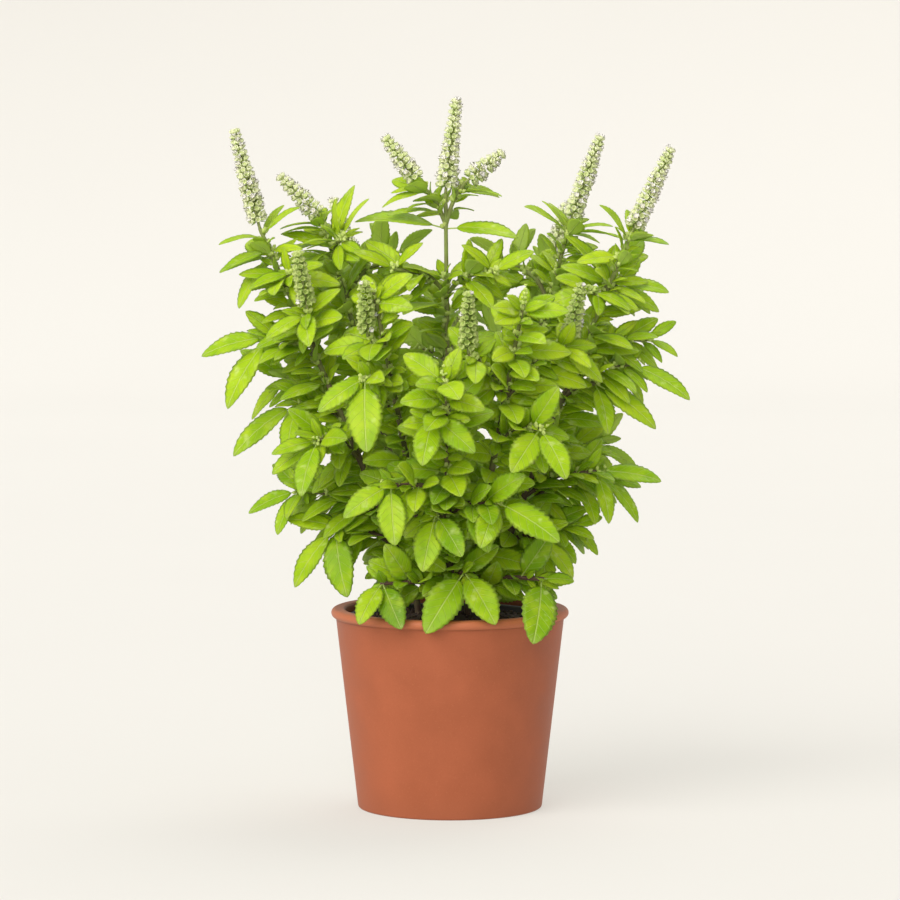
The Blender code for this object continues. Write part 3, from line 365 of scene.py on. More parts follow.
def blade(leaf, thick, root):
    """Points and faces of a leaf: a stalk from share root, then a thin arched blade with a toothed margin."""
    half = leaf.width / 2
    points, rows = [], {}
    centre, side, normal = leaf_point(leaf, root)
    for name, across, up in (("left", -1, 0.3), ("right", 1, 0.3), ("under", 0, -0.7)):
        rows[name] = [(root, len(points))]
        points.append(centre + side * (across * STALK_HALF_WIDTH) + normal * (up * thick))
    for name, way in (("left", -1), ("right", 1)):
        for share, reach in LEAF_MARGIN:
            centre, side, normal = leaf_point(leaf, share)
            rows[name].append((share, len(points)))
            points.append(centre + side * (way * half * reach) + normal * (leaf.fold * half * reach))
    rows["top"] = []
    for name, way in (("top", 1), ("under", -1)):
        for share in LEAF_MIDRIB:
            centre, _, normal = leaf_point(leaf, share)
            rows[name].append((share, len(points)))
            points.append(centre + normal * (way * thick / 2))
    end = (1.0, len(points))
    points.append(leaf_point(leaf, 1.0)[0])
    for row in rows.values():
        row.append(end)
    faces = zipped(rows["left"], rows["top"]) + zipped(rows["top"], rows["right"])
    faces += zipped(rows["under"], rows["left"]) + zipped(rows["right"], rows["under"])
    left, right, top, under = (rows[name][0][1] for name in ("left", "right", "top", "under"))
    return points, [*faces, (left, top, right), (left, right, under)]


def ring_prism(points, radius, sides=6):
    """Points and faces of a tube that stands for a stem or a spike in the tests for crossing."""
    found, faces = [], []
    for i, point in enumerate(points):
        along = (points[min(i + 1, len(points) - 1)] - points[max(i - 1, 0)]).normalized()
        side = along.orthogonal().normalized() if i == 0 else (side - along * side.dot(along)).normalized()
        across = along.cross(side)
        for k in range(sides):
            angle = 2 * math.pi * k / sides
            found.append(point + (side * math.cos(angle) + across * math.sin(angle)) * radius)
    for i in range(len(points) - 1):
        for k in range(sides):
            a, b = i * sides + k, i * sides + (k + 1) % sides
            faces.append((a, b, b + sides, a + sides))
    return found, [*faces, range(sides), range(len(found) - sides, len(found))]


class Room:
    """What has been placed so far, so that the next piece can be kept clear of it."""

    def __init__(self):
        self.owners, self.trees = [], []
        self.middles, self.reaches = np.empty((0, 3)), np.empty(0)

    def shape(self, points, faces):
        middle = sum(points, Vector()) / len(points)
        reach = max((p - middle).length for p in points)
        return middle, reach, BVHTree.FromPolygons(points, faces)

    def free(self, shape, skip=()):
        middle, reach, tree = shape
        near = np.linalg.norm(self.middles - np.array(middle), axis=1) < self.reaches + reach
        others = (i for i in np.flatnonzero(near) if self.owners[i] not in skip)
        return not any(tree.overlap(self.trees[i]) for i in others)

    def take(self, owner, shape):
        middle, reach, tree = shape
        self.owners.append(owner)
        self.trees.append(tree)
        self.middles = np.vstack([self.middles, middle])
        self.reaches = np.append(self.reaches, reach)


def bush_radius(height):
    """How far out the back shoots end at a height."""
    for (low, near), (high, far) in zip(BUSH_PROFILE, BUSH_PROFILE[1:]):
        if height <= high:
            return near + (far - near) * (height - low) / (high - low)
    return BUSH_PROFILE[-1][1]


def back_targets(rng):
    """Where the back shoots end, spread by the golden angle."""
    for i in range(BACK_SHOOTS):
        angle = BACK_FROM + (BACK_TO - BACK_FROM) * ((i + 1) * GOLDEN % 1)
        height = BACK_LOW + (BACK_HIGH - BACK_LOW) * (i + 0.5) / BACK_SHOOTS
        radius = bush_radius(height) * rng.uniform(0.92, 1.04)
        yield Vector((radius * math.cos(angle), radius * math.sin(angle), height))


def along(points, share):
    """The point and direction at a share of a path's length."""
    lengths = [(b - a).length for a, b in zip(points, points[1:])]
    wanted = share * sum(lengths)
    for a, b, length in zip(points, points[1:], lengths):
        if wanted <= length:
            return a.lerp(b, wanted / length), (b - a).normalized()
        wanted -= length
    return points[-1].copy(), (points[-1] - points[-2]).normalized()


def path_length(points):
    return sum((b - a).length for a, b in zip(points, points[1:]))


def shoot_ways(stems, target, spike):
    """Ways for a side shoot to reach its target, the shortest that leave a stem well below it first."""
    ways = []
    for stem in stems:
        for share in FORK_SHARES:
            start, heading = along(stem.points, share)
            span = (target - start).length
            rise = target.z - start.z
            if start.z < LOWEST_SHOOT or rise < LEAST_RISE * span or span < SHORTEST_SHOOT:
                continue
            if spike and (target - start).angle(Vector(spike) - target) > SPIKE_LEAN:
                continue
            ways.append((span + RISE_WEIGHT * abs(rise - BEST_RISE * span), stem, start, heading))
    return sorted(ways, key=lambda way: way[0])


def side_shoot(stem, start, heading, target):
    """A shoot that leaves its stem along the stem's heading and curves out to the target."""
    span = (target - start).length
    middle = start + heading * (FORK_ALONG_STEM * span) + (target - start) * FORK_TOWARDS_END
    count = SHOOT_STEPS if span > STRAIGHT_SHOOT else 2
    points = bend(start, middle, target, count)
    radii = [SHOOT_RADIUS + (SHOOT_TIP_RADIUS - SHOOT_RADIUS) * i / (count - 1) for i in range(count)]
    return Shoot(points, radii, stem.node, "side")


def grow_shoots(room, stems):
    """All shoots by number, and the plan they follow: each one's end, end leaves' tips and spike's tip."""
    rng = random.Random(SEED)
    plan = [(Vector(tip), (), spike) for _, tip, spike in MAIN_STEMS]
    plan += [(Vector(end), tips, spike) for end, tips, spike in FRONT_SHOOTS]
    plan += [(end, (), None) for end in back_targets(rng)]
    for number, (end, _, spike) in enumerate(plan):
        if spike:
            axis = [end.lerp(Vector(spike), share) for share in (0, SPIKE_BARE_SHARE, 1)]
            room.take(-number, room.shape(*ring_prism(axis[:2], SPIKE_RADIUS + CLEAR_ROUND_STEM)))
            room.take(-number, room.shape(*ring_prism(axis[1:], SPIKE_REACH)))
    shoots = {}
    for number, (target, _, spike) in enumerate(plan):
        if number < len(stems):
            shoots[number] = stems[number]
        else:
            ways = (side_shoot(*way[1:], target) for way in shoot_ways(stems, target, spike))
            spaces = ((way, shoot_space(room, way, FORK_SHARE)) for way in ways)
            clear = (way for way, space in spaces if room.free(space, (-number, way.node)))
            shoots[number] = next(clear, None)
        if shoots[number]:
            room.take(number, shoot_space(room, shoots[number], 0))
    return {number: shoot for number, shoot in shoots.items() if shoot}, plan


def shoot_space(room, shoot, start):
    """The room a shoot needs from a share of its length on."""
    path = [along(shoot.points, start + (1 - start) * i / STEM_STEPS)[0] for i in range(STEM_STEPS + 1)]
    return room.shape(*ring_prism(path, max(shoot.radii) + CLEAR_ROUND_STEM))


def ramp(value, start, over):
    """How far a value has come from a start over a distance, from 0 to 1."""
    return min(1.0, max(0.0, (value - start) / over))


def new_leaf(number, base, tip, up_hint):
    """A leaf from a point on a shoot's middle line to a tip, with its upper face towards the hint."""
    chord = tip - base
    up = (up_hint - chord * (up_hint.dot(chord) / chord.length_squared)).normalized()
    outer = max(ramp(abs(tip.x), *NARROWER_OUT), ramp(tip.z, *NARROWER_UP))
    return Leaf(base, tip, up, chord.length * (LEAF_WIDTH_SHARE - NARROWER * outer), LEAF_FOLD, number)


def outward(point):
    """The level direction away from the pot's axis."""
    return Vector((point.x, point.y, 0)).normalized() if point.xy.length > GAP else Vector((0, -1, 0))


def turned_about(direction, axis, angle):
    """The direction turned about an axis."""
    c, s = math.cos(angle), math.sin(angle)
    return direction * c + axis.cross(direction) * s + axis * (axis.dot(direction) * (1 - c))


def place_leaf(room, leaves, number, base, tip, turns):
    """Puts the leaf at the first turn that leaves it clear of the rest, a little shorter if need be."""
    start = Vector(base)
    front = Vector((0, -1 if start.y < BACK_HALF else 1, 0))
    turned_front = FACES_FRONT - CROWN_FACES_LESS * ramp(start.z, *CROWN_FACES)
    up = Vector((0, 0, FACES_UP)) + outward(start) * FACES_OUT + front * turned_front
    for shrink in LEAF_SHRINKS:
        for swing, lift in turns:
            chord = turned_about(tip - start, Vector((0, 0, 1)), swing) * shrink
            chord.z += lift * chord.length
            leaf = new_leaf(number, start, start + chord, up)
            shape = room.shape(*blade(leaf, LEAF_CLEAR_THICK, STALK_IN_STEM / chord.length))
            if room.free(shape, (number,)):
                room.take(LEAF_OWNER, shape)
                leaves.append(leaf)
                return


def is_bare(number, point):
    return number == 0 and BARE_LOW < point.z < BARE_HIGH


def leaf_pairs(room, shoots, leaves, number, shares, rng, longest):
    """Opposite leaves at shares of a shoot's length, each pair turned a quarter from the last."""
    shoot = shoots[number]
    quarter = rng.uniform(0, math.pi)
    for order, share in enumerate(shares):
        point, heading = along(shoot.points, share)
        side = turned_about(heading.orthogonal().normalized(), heading, quarter + order * math.pi / 2)
        droop = DROOP - DROOP_LOST * max(0.0, point.z - DROOP_HEIGHT)
        for way in (1, -1):
            aim = heading * LEAF_FORWARD + side * way + outward(point) * rng.uniform(*LEAF_OUTWARD)
            aim.z += rng.uniform(-LEAF_TILT, LEAF_TILT) - droop
            size = END_PAIR_SIZE if share > END_PAIR_FROM else 1
            tip = point + aim.normalized() * (longest * rng.uniform(SHORTEST_SHARE, 1) * size)
            on_rim = tip.z < SKIRT_HEIGHT and tip.xy.length < SKIRT_RADIUS
            if tip.z < LEAF_TOP and not on_rim and not is_bare(number, point):
                place_leaf(room, leaves, number, point, tip, RULE_TURNS)


def grow_leaves(room, shoots, plan):
    """Leaves whose tips were given first, then the pairs along the shoots."""
    leaves, rng = [], random.Random(SEED + 1)
    chosen = [(number, END_LEAF_ROOT, plan[number][1]) for number in shoots]
    for number, from_end, tips in (*CROWN_LEAVES, *chosen):
        points = shoots[number].points
        root, _ = along(points, 1 - from_end / path_length(points))
        for tip in tips:
            place_leaf(room, leaves, number, root, Vector(tip), HERO_TURNS)
    for number, shoot in shoots.items():
        length = path_length(shoot.points)
        _, tips, spike = plan[number]
        if shoot.kind == "main":
            steps = PAIRS_ON_STEM
        elif tips:
            steps = PAIRS_BELOW_TIPS
        else:
            steps = PAIRS_BELOW_SPIKE if spike else PAIRS_ON_SHOOT
        shares = [1 - step / length for step in steps if step < length - BARE_FOOT]
        longest = LONGEST_ON_STEM if shoot.kind == "main" else LONGEST_ON_SHOOT
        leaf_pairs(room, shoots, leaves, number, shares, rng, longest)
    return leaves


class Piece:
    """Points, faces, and a value or two for each point, of one piece of the scene."""

    def __init__(self):
        self.points, self.uvs, self.faces, self.values, self.count = [], [], [], {}, 0

    def add(self, points, faces, uvs=None, **values):
        points = np.asarray(points, float).reshape(-1, 3)
        self.points.append(points)
        self.uvs.append(np.zeros((len(points), 2)) if uvs is None else np.asarray(uvs, float))
        self.faces.extend([tuple(corner + self.count for corner in face) for face in faces])
        for name, value in values.items():
            self.values.setdefault(name, []).append(np.broadcast_to(np.asarray(value, float), len(points)))
        self.count += len(points)

    def make(self, name, look, node=None, slot=None, smooth=True):
        mesh = bpy.data.meshes.new(name)
        mesh.from_pydata(np.concatenate(self.points).tolist(), [], self.faces)
        for title, parts in self.values.items():
            layer = mesh.attributes.new(title, "FLOAT", "POINT")
            layer.data.foreach_set("value", np.concatenate(parts).astype(np.float32))
        corners = np.empty(len(mesh.loops), np.int32)
        mesh.loops.foreach_get("vertex_index", corners)
        layer = mesh.uv_layers.new(name="Shape")
        layer.data.foreach_set("uv", np.concatenate(self.uvs)[corners].astype(np.float32).ravel())
        mesh.materials.append(look)
        if smooth:
            mesh.shade_smooth()
        mesh.validate()
        made = bpy.data.objects.new(name, mesh)
        bpy.context.scene.collection.objects.link(made)
        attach(made, "root")
        if node:
            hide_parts(node)
        return made


def grid_faces(rows, columns, closed=True):
    """Quads between rings of points, one ring after another."""
    faces = []
    for i in range(rows - 1):
        for j in range(columns if closed else columns - 1):
            a, b = i * columns + j, i * columns + (j + 1) % columns
            faces.append((a, b, b + columns, a + columns))
    return faces


def capped_tube(rows, columns):
    ends = [tuple(reversed(range(columns))), tuple(range((rows - 1) * columns, rows * columns))]
    return grid_faces(rows, columns) + ends


def smooth_path(points, spacing):
    """A smooth curve through the points, sampled about evenly."""
    p = [2 * points[0] - points[1], *points, 2 * points[-1] - points[-2]]
    made = []
    for a, b, c, d in zip(p, p[1:], p[2:], p[3:]):
        steps = max(1, round((c - b).length / spacing))
        for k in range(steps):
            t = k / steps
            made.append(0.5 * (2 * b + (c - a) * t + (2 * a - 5 * b + 4 * c - d) * t**2
                               + (3 * b - a - 3 * c + d) * t**3))
    return [*made, points[-1].copy()]


def frames(path):
    """Along, side and across directions at each point of a path, with no twist."""
    side, found = None, []
    for i, _ in enumerate(path):
        heading = (path[min(i + 1, len(path) - 1)] - path[max(i - 1, 0)]).normalized()
        side = heading.orthogonal() if side is None else side - heading * side.dot(heading)
        side.normalize()
        found.append((heading, side.copy(), heading.cross(side)))
    return found


def add_stem(piece, shoot, knots, sides, tint):
    """A stem with soft corners and a swelling at each pair of leaves."""
    path = smooth_path(shoot.points, RING_SPACING)
    total = path_length(path)
    gone, rings, uvs = 0.0, [], []
    for i, (point, (_, side, across)) in enumerate(zip(path, frames(path))):
        gone += (point - path[i - 1]).length if i else 0
        share = gone / total
        radius = shoot.radii[0] + (shoot.radii[-1] - shoot.radii[0]) * share
        radius *= 1 + sum(NODE_SWELL * math.exp(-(((share - knot) * total) / NODE_SPREAD) ** 2) for knot in knots)
        for k in range(sides):
            angle = 2 * math.pi * k / sides
            reach = radius * (1 + STEM_EDGE * math.cos(4 * angle))
            rings.append(point + (side * math.cos(angle) + across * math.sin(angle)) * reach)
            uvs.append((k / sides, gone))
    piece.add(rings, capped_tube(len(path), sides), uvs, tint=tint, height=[p.z for p in rings])


def blade_rows(rows):
    """Stations along a blade: two to each tooth, its point and the notch after it."""
    steps = (LAST_TOOTH - FIRST_TOOTH) / (rows - 1)
    shares = [(BLADE_FROM, 1.0), (0.18, 1.0), (0.225, 1.0)]
    for i in range(rows):
        share = FIRST_TOOTH + i * steps
        shares += [(share, TOOTH_OUT), (share + 0.28 * steps, TOOTH_IN)]
    return np.array([*shares, (0.975, 1.0)])


def reach_at(share):
    """Half width of a blade at a share of its length, as a share of the widest."""
    turn = np.clip((share - 0.15) / 0.85, 0, 1) ** 0.85
    return np.sin(np.pi * turn) ** 0.65


class BladePattern:
    """The points and faces that every leaf of one fineness shares."""

    def __init__(self, teeth, columns):
        self.rows = blade_rows(teeth)
        self.t = np.array(columns, float)
        n, m = len(self.rows), len(columns)
        self.n, self.m = n, m
        top = np.arange(n * m).reshape(n, m)
        under = np.empty((n, m), int)
        under[:, 0], under[:, -1] = top[:, 0], top[:, -1]
        under[:, 1:-1] = n * m + np.arange(n * (m - 2)).reshape(n, m - 2)
        tip = n * m + n * (m - 2)
        faces = []
        for i in range(n - 1):
            for j in range(m - 1):
                faces.append((top[i, j], top[i, j + 1], top[i + 1, j + 1], top[i + 1, j]))
                faces.append((under[i, j], under[i + 1, j], under[i + 1, j + 1], under[i, j + 1]))
        for j in range(m - 1):
            faces.append((top[-1, j], top[-1, j + 1], tip))
            faces.append((under[-1, j + 1], under[-1, j], tip))
            faces.append(tuple(dict.fromkeys((top[0, j + 1], top[0, j], under[0, j], under[0, j + 1]))))
        self.faces = [tuple(int(c) for c in face) for face in faces]


def leaf_frame(leaf, share):
    """Middle line, side and normal of a leaf at an array of shares."""
    chord = np.array(leaf.tip - leaf.base)
    up = np.array(leaf.up)
    length = np.linalg.norm(chord)
    s = share[:, None]
    centre = np.array(leaf.base) + chord * s + up * (LEAF_ARCH * length * 4 * s * (1 - s))
    tangent = chord + up * (LEAF_ARCH * length * 4 * (1 - 2 * s))
    tangent /= np.linalg.norm(tangent, axis=1, keepdims=True)
    side = np.cross(tangent, up)
    side /= np.linalg.norm(side, axis=1, keepdims=True)
    return centre, side, np.cross(side, tangent), length


def add_leaf(piece, leaf, pattern, rng):
    """A thin closed blade with a toothed margin, on a stalk that runs on as its midrib."""
    share, tooth = pattern.rows[:, 0], pattern.rows[:, 1]
    centre, side, normal, length = leaf_frame(leaf, share)
    drop = rng.uniform(0.01, 0.05) * length
    centre = centre - normal * (drop * share[:, None] ** 3)
    half = leaf.width / 2
    reach = (half * reach_at(share) * tooth)[:, None]
    t = pattern.t[None, :]
    wave = rng.uniform(5, 9) * share[:, None] + rng.uniform(0, 6.28)
    ripple = 0.075 * np.sin(wave + np.sign(t) * rng.uniform(0.4, 1.4)) * t**2
    fold = leaf.fold * (np.abs(t) ** 1.2 - 0.32 * t**4) + ripple
    quilt = 0.022 * np.sin(2 * np.pi * (share[:, None] * 7 - 0.9 * np.abs(t) * reach / length * 7)) * (1 - t**2)
    lift = (fold + quilt) * reach
    middle = centre[:, None] + side[:, None] * (t * reach)[..., None] + normal[:, None] * lift[..., None]
    thick = 0.5 * FINE_THICK * np.sqrt(np.clip(1 - t**2, 0, 1))
    thick = np.broadcast_to(thick, reach.shape[:1] + (pattern.m,))
    top = middle + normal[:, None] * thick[..., None]
    under = (middle - normal[:, None] * thick[..., None])[:, 1:-1]
    end, _, end_normal, _ = leaf_frame(leaf, np.array([1.0]))
    tip = end - end_normal * drop
    points = np.concatenate([top.reshape(-1, 3), under.reshape(-1, 3), tip])
    u = t * reach / length
    v = np.broadcast_to(share[:, None], u.shape)
    uvs = np.concatenate([
        np.stack([u, v], -1).reshape(-1, 2), np.stack([u, v], -1)[:, 1:-1].reshape(-1, 2), [[0, 1]]
    ])
    below = np.concatenate([np.zeros(pattern.n * pattern.m), np.ones(pattern.n * (pattern.m - 2)), [0]])
    rims = np.broadcast_to(np.abs(t), u.shape)
    rim = np.concatenate([rims.ravel(), rims[:, 1:-1].ravel(), [1]])
    tint = rng.random()
    # Leaves get lighter up the plant: part young growth, part painted top light
    young = YOUNGER_AND_TOPLIT_UP * ramp(leaf.base.z, 0.15, 0.18) + (1 - YOUNGER_AND_TOPLIT_UP) * rng.random()
    young -= OLDER_OUT * ramp(leaf.tip.xy.length, 0.11, 0.05)
    piece.add(points, pattern.faces, uvs, tint=tint, under=below, young=young, rim=rim)

    centre, side, normal, _ = leaf_frame(leaf, STALK_SHARES)
    angle = 2 * np.pi * np.arange(STALK_SIDES) / STALK_SIDES
    radius = STALK_RADII[:, None, None] * min(1.0, (length / 0.036) ** 0.7)
    centre = centre - normal * (STALK_SINK + drop * STALK_SHARES**3)[:, None]
    ring = side[:, None] * np.cos(angle)[None, :, None] - normal[:, None] * np.sin(angle)[None, :, None]
    rings = centre[:, None] + ring * radius
    uvs = np.stack(np.broadcast_arrays(np.zeros((1, STALK_SIDES)), STALK_SHARES[:, None]), -1).reshape(-1, 2)
    faces = capped_tube(len(STALK_SHARES), STALK_SIDES)
    piece.add(rings.reshape(-1, 3), faces, uvs, tint=tint, under=1.0, young=young, rim=0.0)


def bush_edge(height):
    """How far from the axis the bush reaches at a height."""
    for (low, near), (high, far) in zip(BUSH, BUSH[1:]):
        if low <= height <= high:
            return near + (far - near) * (height - low) / (high - low)
    return 0.0


def in_bush(point):
    return math.hypot(point.x, point.y / BUSH_DEPTH) < bush_edge(point.z)


def fill_bush(room, shoots, plan, leaves):
    """The many middling and small leaves between those that the solids have."""
    rng = random.Random(SEED + 2)
    turns = [(swing * 0.5, lift * 0.25) for swing in (0, 1, -1, 2, -2) for lift in (0, 1, -1)]
    for spacing, low, high, upright in ((0.0125, 0.026, 0.040, 0.1), (0.010, 0.018, 0.028, 0.3), (0.008, 0.010, 0.018, 0.5)):
        for number, shoot in shoots.items():
            length = path_length(shoot.points)
            from_end = rng.uniform(0.3, 1.0) * spacing
            quarter = rng.uniform(0, math.pi)
            while from_end < length - 0.006:
                point, heading = along(shoot.points, 1 - from_end / length)
                from_end += spacing * rng.uniform(0.8, 1.25)
                quarter += math.pi / 2 + rng.uniform(-0.3, 0.3)
                if point.z < FILL_ABOVE or (number == 0 and point.z > FILL_MIDDLE_TO):
                    continue
                side = turned_about(heading.orthogonal().normalized(), heading, quarter)
                for way in (1, -1):
                    aim = heading * 0.5 + side * way + outward(point) * rng.uniform(0.1, 0.7)
                    aim.z += rng.uniform(-0.5, 0.3) + upright - 0.3 + 1.2 * max(0.0, point.z - 0.3)
                    tip = point + aim.normalized() * rng.uniform(low, high)
                    if in_bush(tip) and (tip.z > HOLLOW_TOP or tip.xy.length > HOLLOW_RADIUS):
                        place_leaf(room, leaves, number, point, tip, turns)


def add_spike(piece, base, stem_heading, tip, rng, in_bloom):
    """A flower spike: stalk, whorls of ribbed calyces with small bracts, and a few open flowers."""
    axis = tip - base
    heading = axis.normalized()
    path = smooth_path([base - stem_heading * 0.0004, base + heading * 0.0012, base.lerp(tip, 0.5), tip], 0.003)
    rings = []
    for i, (point, (_, side, across)) in enumerate(zip(path, frames(path))):
        radius = SPIKE_RADIUS * (1 - 0.6 * i / (len(path) - 1))
        rings += [point + (side * math.cos(a) + across * math.sin(a)) * radius for a in np.arange(6) * math.pi / 3]
    piece.add(rings, capped_tube(len(path), 6), hue=0.0, tip=0.0)
    side = heading.orthogonal().normalized()
    whorls = max(4, round((axis.length - SPIKE_FOOT) / FINE_WHORL))
    for whorl in range(whorls):
        share = (SPIKE_FOOT + (axis.length - SPIKE_FOOT - 0.0015) * whorl / (whorls - 1)) / axis.length
        size = (1.30 - 0.30 * share**2) * rng.uniform(0.92, 1.05)
        centre = base.lerp(tip, share)
        for k in range(FLOWERS_IN_A_WHORL):
            angle = 2 * math.pi * (k + 0.5 * (whorl % 2)) / FLOWERS_IN_A_WHORL + rng.uniform(-0.15, 0.15)
            away = turned_about(side, heading, angle)
            aim = (away + heading * (0.15 + 1.3 * share**2 + rng.uniform(-0.1, 0.1))).normalized()
            add_calyx(piece, centre, aim, heading, size, rng, open_flower=rng.random() < in_bloom)
            if k % 3 == 0:
                add_bract(piece, centre, (away - heading * 0.25).normalized(), heading, size)


def turned_points(root, aim, up, stations, sides, lobes=0.0):
    """Rings about an aim: (distance, radius) stations, the last ones drawn out into points."""
    side = aim.cross(up)
    side = side.normalized() if side.length > 1e-3 else aim.orthogonal().normalized()
    across = side.cross(aim)
    points = []
    for distance, radius in stations:
        for k in range(sides):
            angle = 2 * math.pi * k / sides
            out = distance + (lobes * (k % 2) if radius == max(r for _, r in stations) else 0)
            points.append(root + aim * out + (side * math.cos(angle) + across * math.sin(angle)) * radius)
    return points


def add_calyx(piece, root, aim, up, size, rng, open_flower):
    mm = 0.001 * size
    stations = ((0.3 * mm, 0.30 * mm), (1.5 * mm, 0.36 * mm), (2.8 * mm, 1.10 * mm),
                (4.7 * mm, 1.62 * mm), (4.2 * mm, 1.25 * mm), (3.0 * mm, 0.6 * mm))
    points = turned_points(root, aim, up, stations, 6, 0.8 * mm)
    tips = np.repeat([0, 0, 0.2, 1.0, 0.6, 0.3], 6)
    piece.add(points, capped_tube(len(stations), 6), hue=0.5 + 0.2 * rng.random(), tip=tips)
    if open_flower:
        bloom = (aim + up * 0.25).normalized()
        stations = ((2.4 * mm, 0.45 * mm), (4.2 * mm, 0.55 * mm), (5.2 * mm, 0.95 * mm), (5.8 * mm, 1.45 * mm),
                    (5.4 * mm, 1.00 * mm), (4.6 * mm, 0.40 * mm))
        points = turned_points(root, bloom, up, stations, 10, 0.9 * mm)
        piece.add(points, capped_tube(len(stations), 10), hue=1.0, tip=np.repeat([0, 0, 0.3, 1.0, 0.5, 0.1], 10))


def add_bud(piece, root, aim, size, tint):
    """A small closed bud: a four-sided spindle that is thickest past its middle."""
    side = aim.orthogonal().normalized()
    across = aim.cross(side)
    ways = (side, across, -side, -across)
    points = [root, *(root + (aim * out + way * wide) * size for out, wide in ((0.35, 0.30), (0.78, 0.30)) for way in ways)]
    points.append(root + aim * size)
    faces = [tuple(corner + 1 for corner in face) for face in grid_faces(2, 4)]
    faces += [(0, 1 + (k + 1) % 4, 1 + k) for k in range(4)]
    faces += [(9, 5 + k, 5 + (k + 1) % 4) for k in range(4)]
    piece.add(points, faces, tint=tint, young=BUD_AGE, under=0.0, rim=0.0)


def add_young_spike(piece, room, shoot, rng):
    """Green buds in whorls at the end of a shoot that doesn't flower yet, as long as there is room."""
    end, heading = along(shoot.points, 1.0)
    heading = (heading + Vector((0, 0, 0.5))).normalized()
    for length in YOUNG_SPIKES:
        axis = [end + heading * 0.0015, end + heading * length]
        if room.free(room.shape(*ring_prism(axis, YOUNG_REACH)), ()):
            break
    else:
        length = YOUNG_SPIKES[-1] * 0.7
    whorls = max(2, round(length / YOUNG_WHORL))
    side = heading.orthogonal().normalized()
    for whorl in range(whorls):
        share = whorl / (whorls - 1)
        centre = end + heading * (length * share * 0.9 - 0.0004)
        for k in range(5):
            away = turned_about(side, heading, 2 * math.pi * (k + 0.5 * (whorl % 2)) / 5)
            aim = (away + heading * (rng.uniform(0.3, 0.8) + 1.4 * share)).normalized()
            size = 0.0038 * (1 - 0.45 * share) * rng.uniform(0.75, 1.25)
            add_bud(piece, centre, aim, size, rng.random())


def add_node_buds(piece, leaf, rng):
    """A tuft of young leaves and buds in the angle between a leaf and its stem."""
    out = (leaf.tip - leaf.base).normalized()
    root = leaf.base + out * 0.0012
    for _ in range(BUDS_IN_A_TUFT):
        lean = Vector([rng.uniform(-0.7, 0.7) for _ in range(3)])
        aim = (out * 0.6 + Vector((0, 0, 0.9)) + lean).normalized()
        add_bud(piece, root, aim, rng.uniform(0.0026, 0.0056), rng.random())


def add_bract(piece, root, aim, up, size):
    """A small pointed leaf under a whorl: two fans of triangles, one for each face."""
    mm = 0.001 * size
    side = aim.cross(up).normalized()
    face = side.cross(aim)
    outline = ((0.6, 0.25), (2.0, 1.15), (3.2, 1.0), (4.4, 0.45))
    middle = [root + aim * 2.6 * mm + face * (way * 0.18 - 0.3) * mm for way in (1, -1)]
    rim = [root + (aim * out + side * wide) * mm for out, wide in outline]
    rim += [root + aim * 5.2 * mm - face * 0.3 * mm]
    rim += [root + (aim * out - side * wide) * mm for out, wide in reversed(outline)]
    n = len(rim)
    faces = [(0, 2 + i, 2 + (i + 1) % n) for i in range(n)] + [(1, 2 + (i + 1) % n, 2 + i) for i in range(n)]
    piece.add([*middle, *rim], faces, hue=0.25, tip=0.2)


def add_turned(piece, profile, sides, **values):
    """A closed round solid from a section that starts and ends on the axis."""
    (_, first), *rest, (_, last) = profile
    angle = 2 * np.pi * np.arange(sides) / sides
    radius, height = np.array(rest).T
    rings = np.stack(np.broadcast_arrays(
        radius[:, None] * np.cos(angle), radius[:, None] * np.sin(angle), height[:, None]), -1)
    n = len(rest)
    faces = [tuple(reversed(face)) for face in grid_faces(n, sides)]
    faces += [(n * sides, k, (k + 1) % sides) for k in range(sides)]
    faces += [(n * sides + 1, (n - 1) * sides + (k + 1) % sides, (n - 1) * sides + k) for k in range(sides)]
    points = np.concatenate([rings.reshape(-1, 3), [(0, 0, first), (0, 0, last)]])
    piece.add(points, faces, **values)


def arc(middle, radius, start, end, steps, squash=1.0):
    """Points on an arc in a section, as (radius, height)."""
    turns = [math.radians(start + (end - start) * i / steps) for i in range(steps + 1)]
    return [(middle[0] + radius * math.cos(a), middle[1] + radius * squash * math.sin(a)) for a in turns]


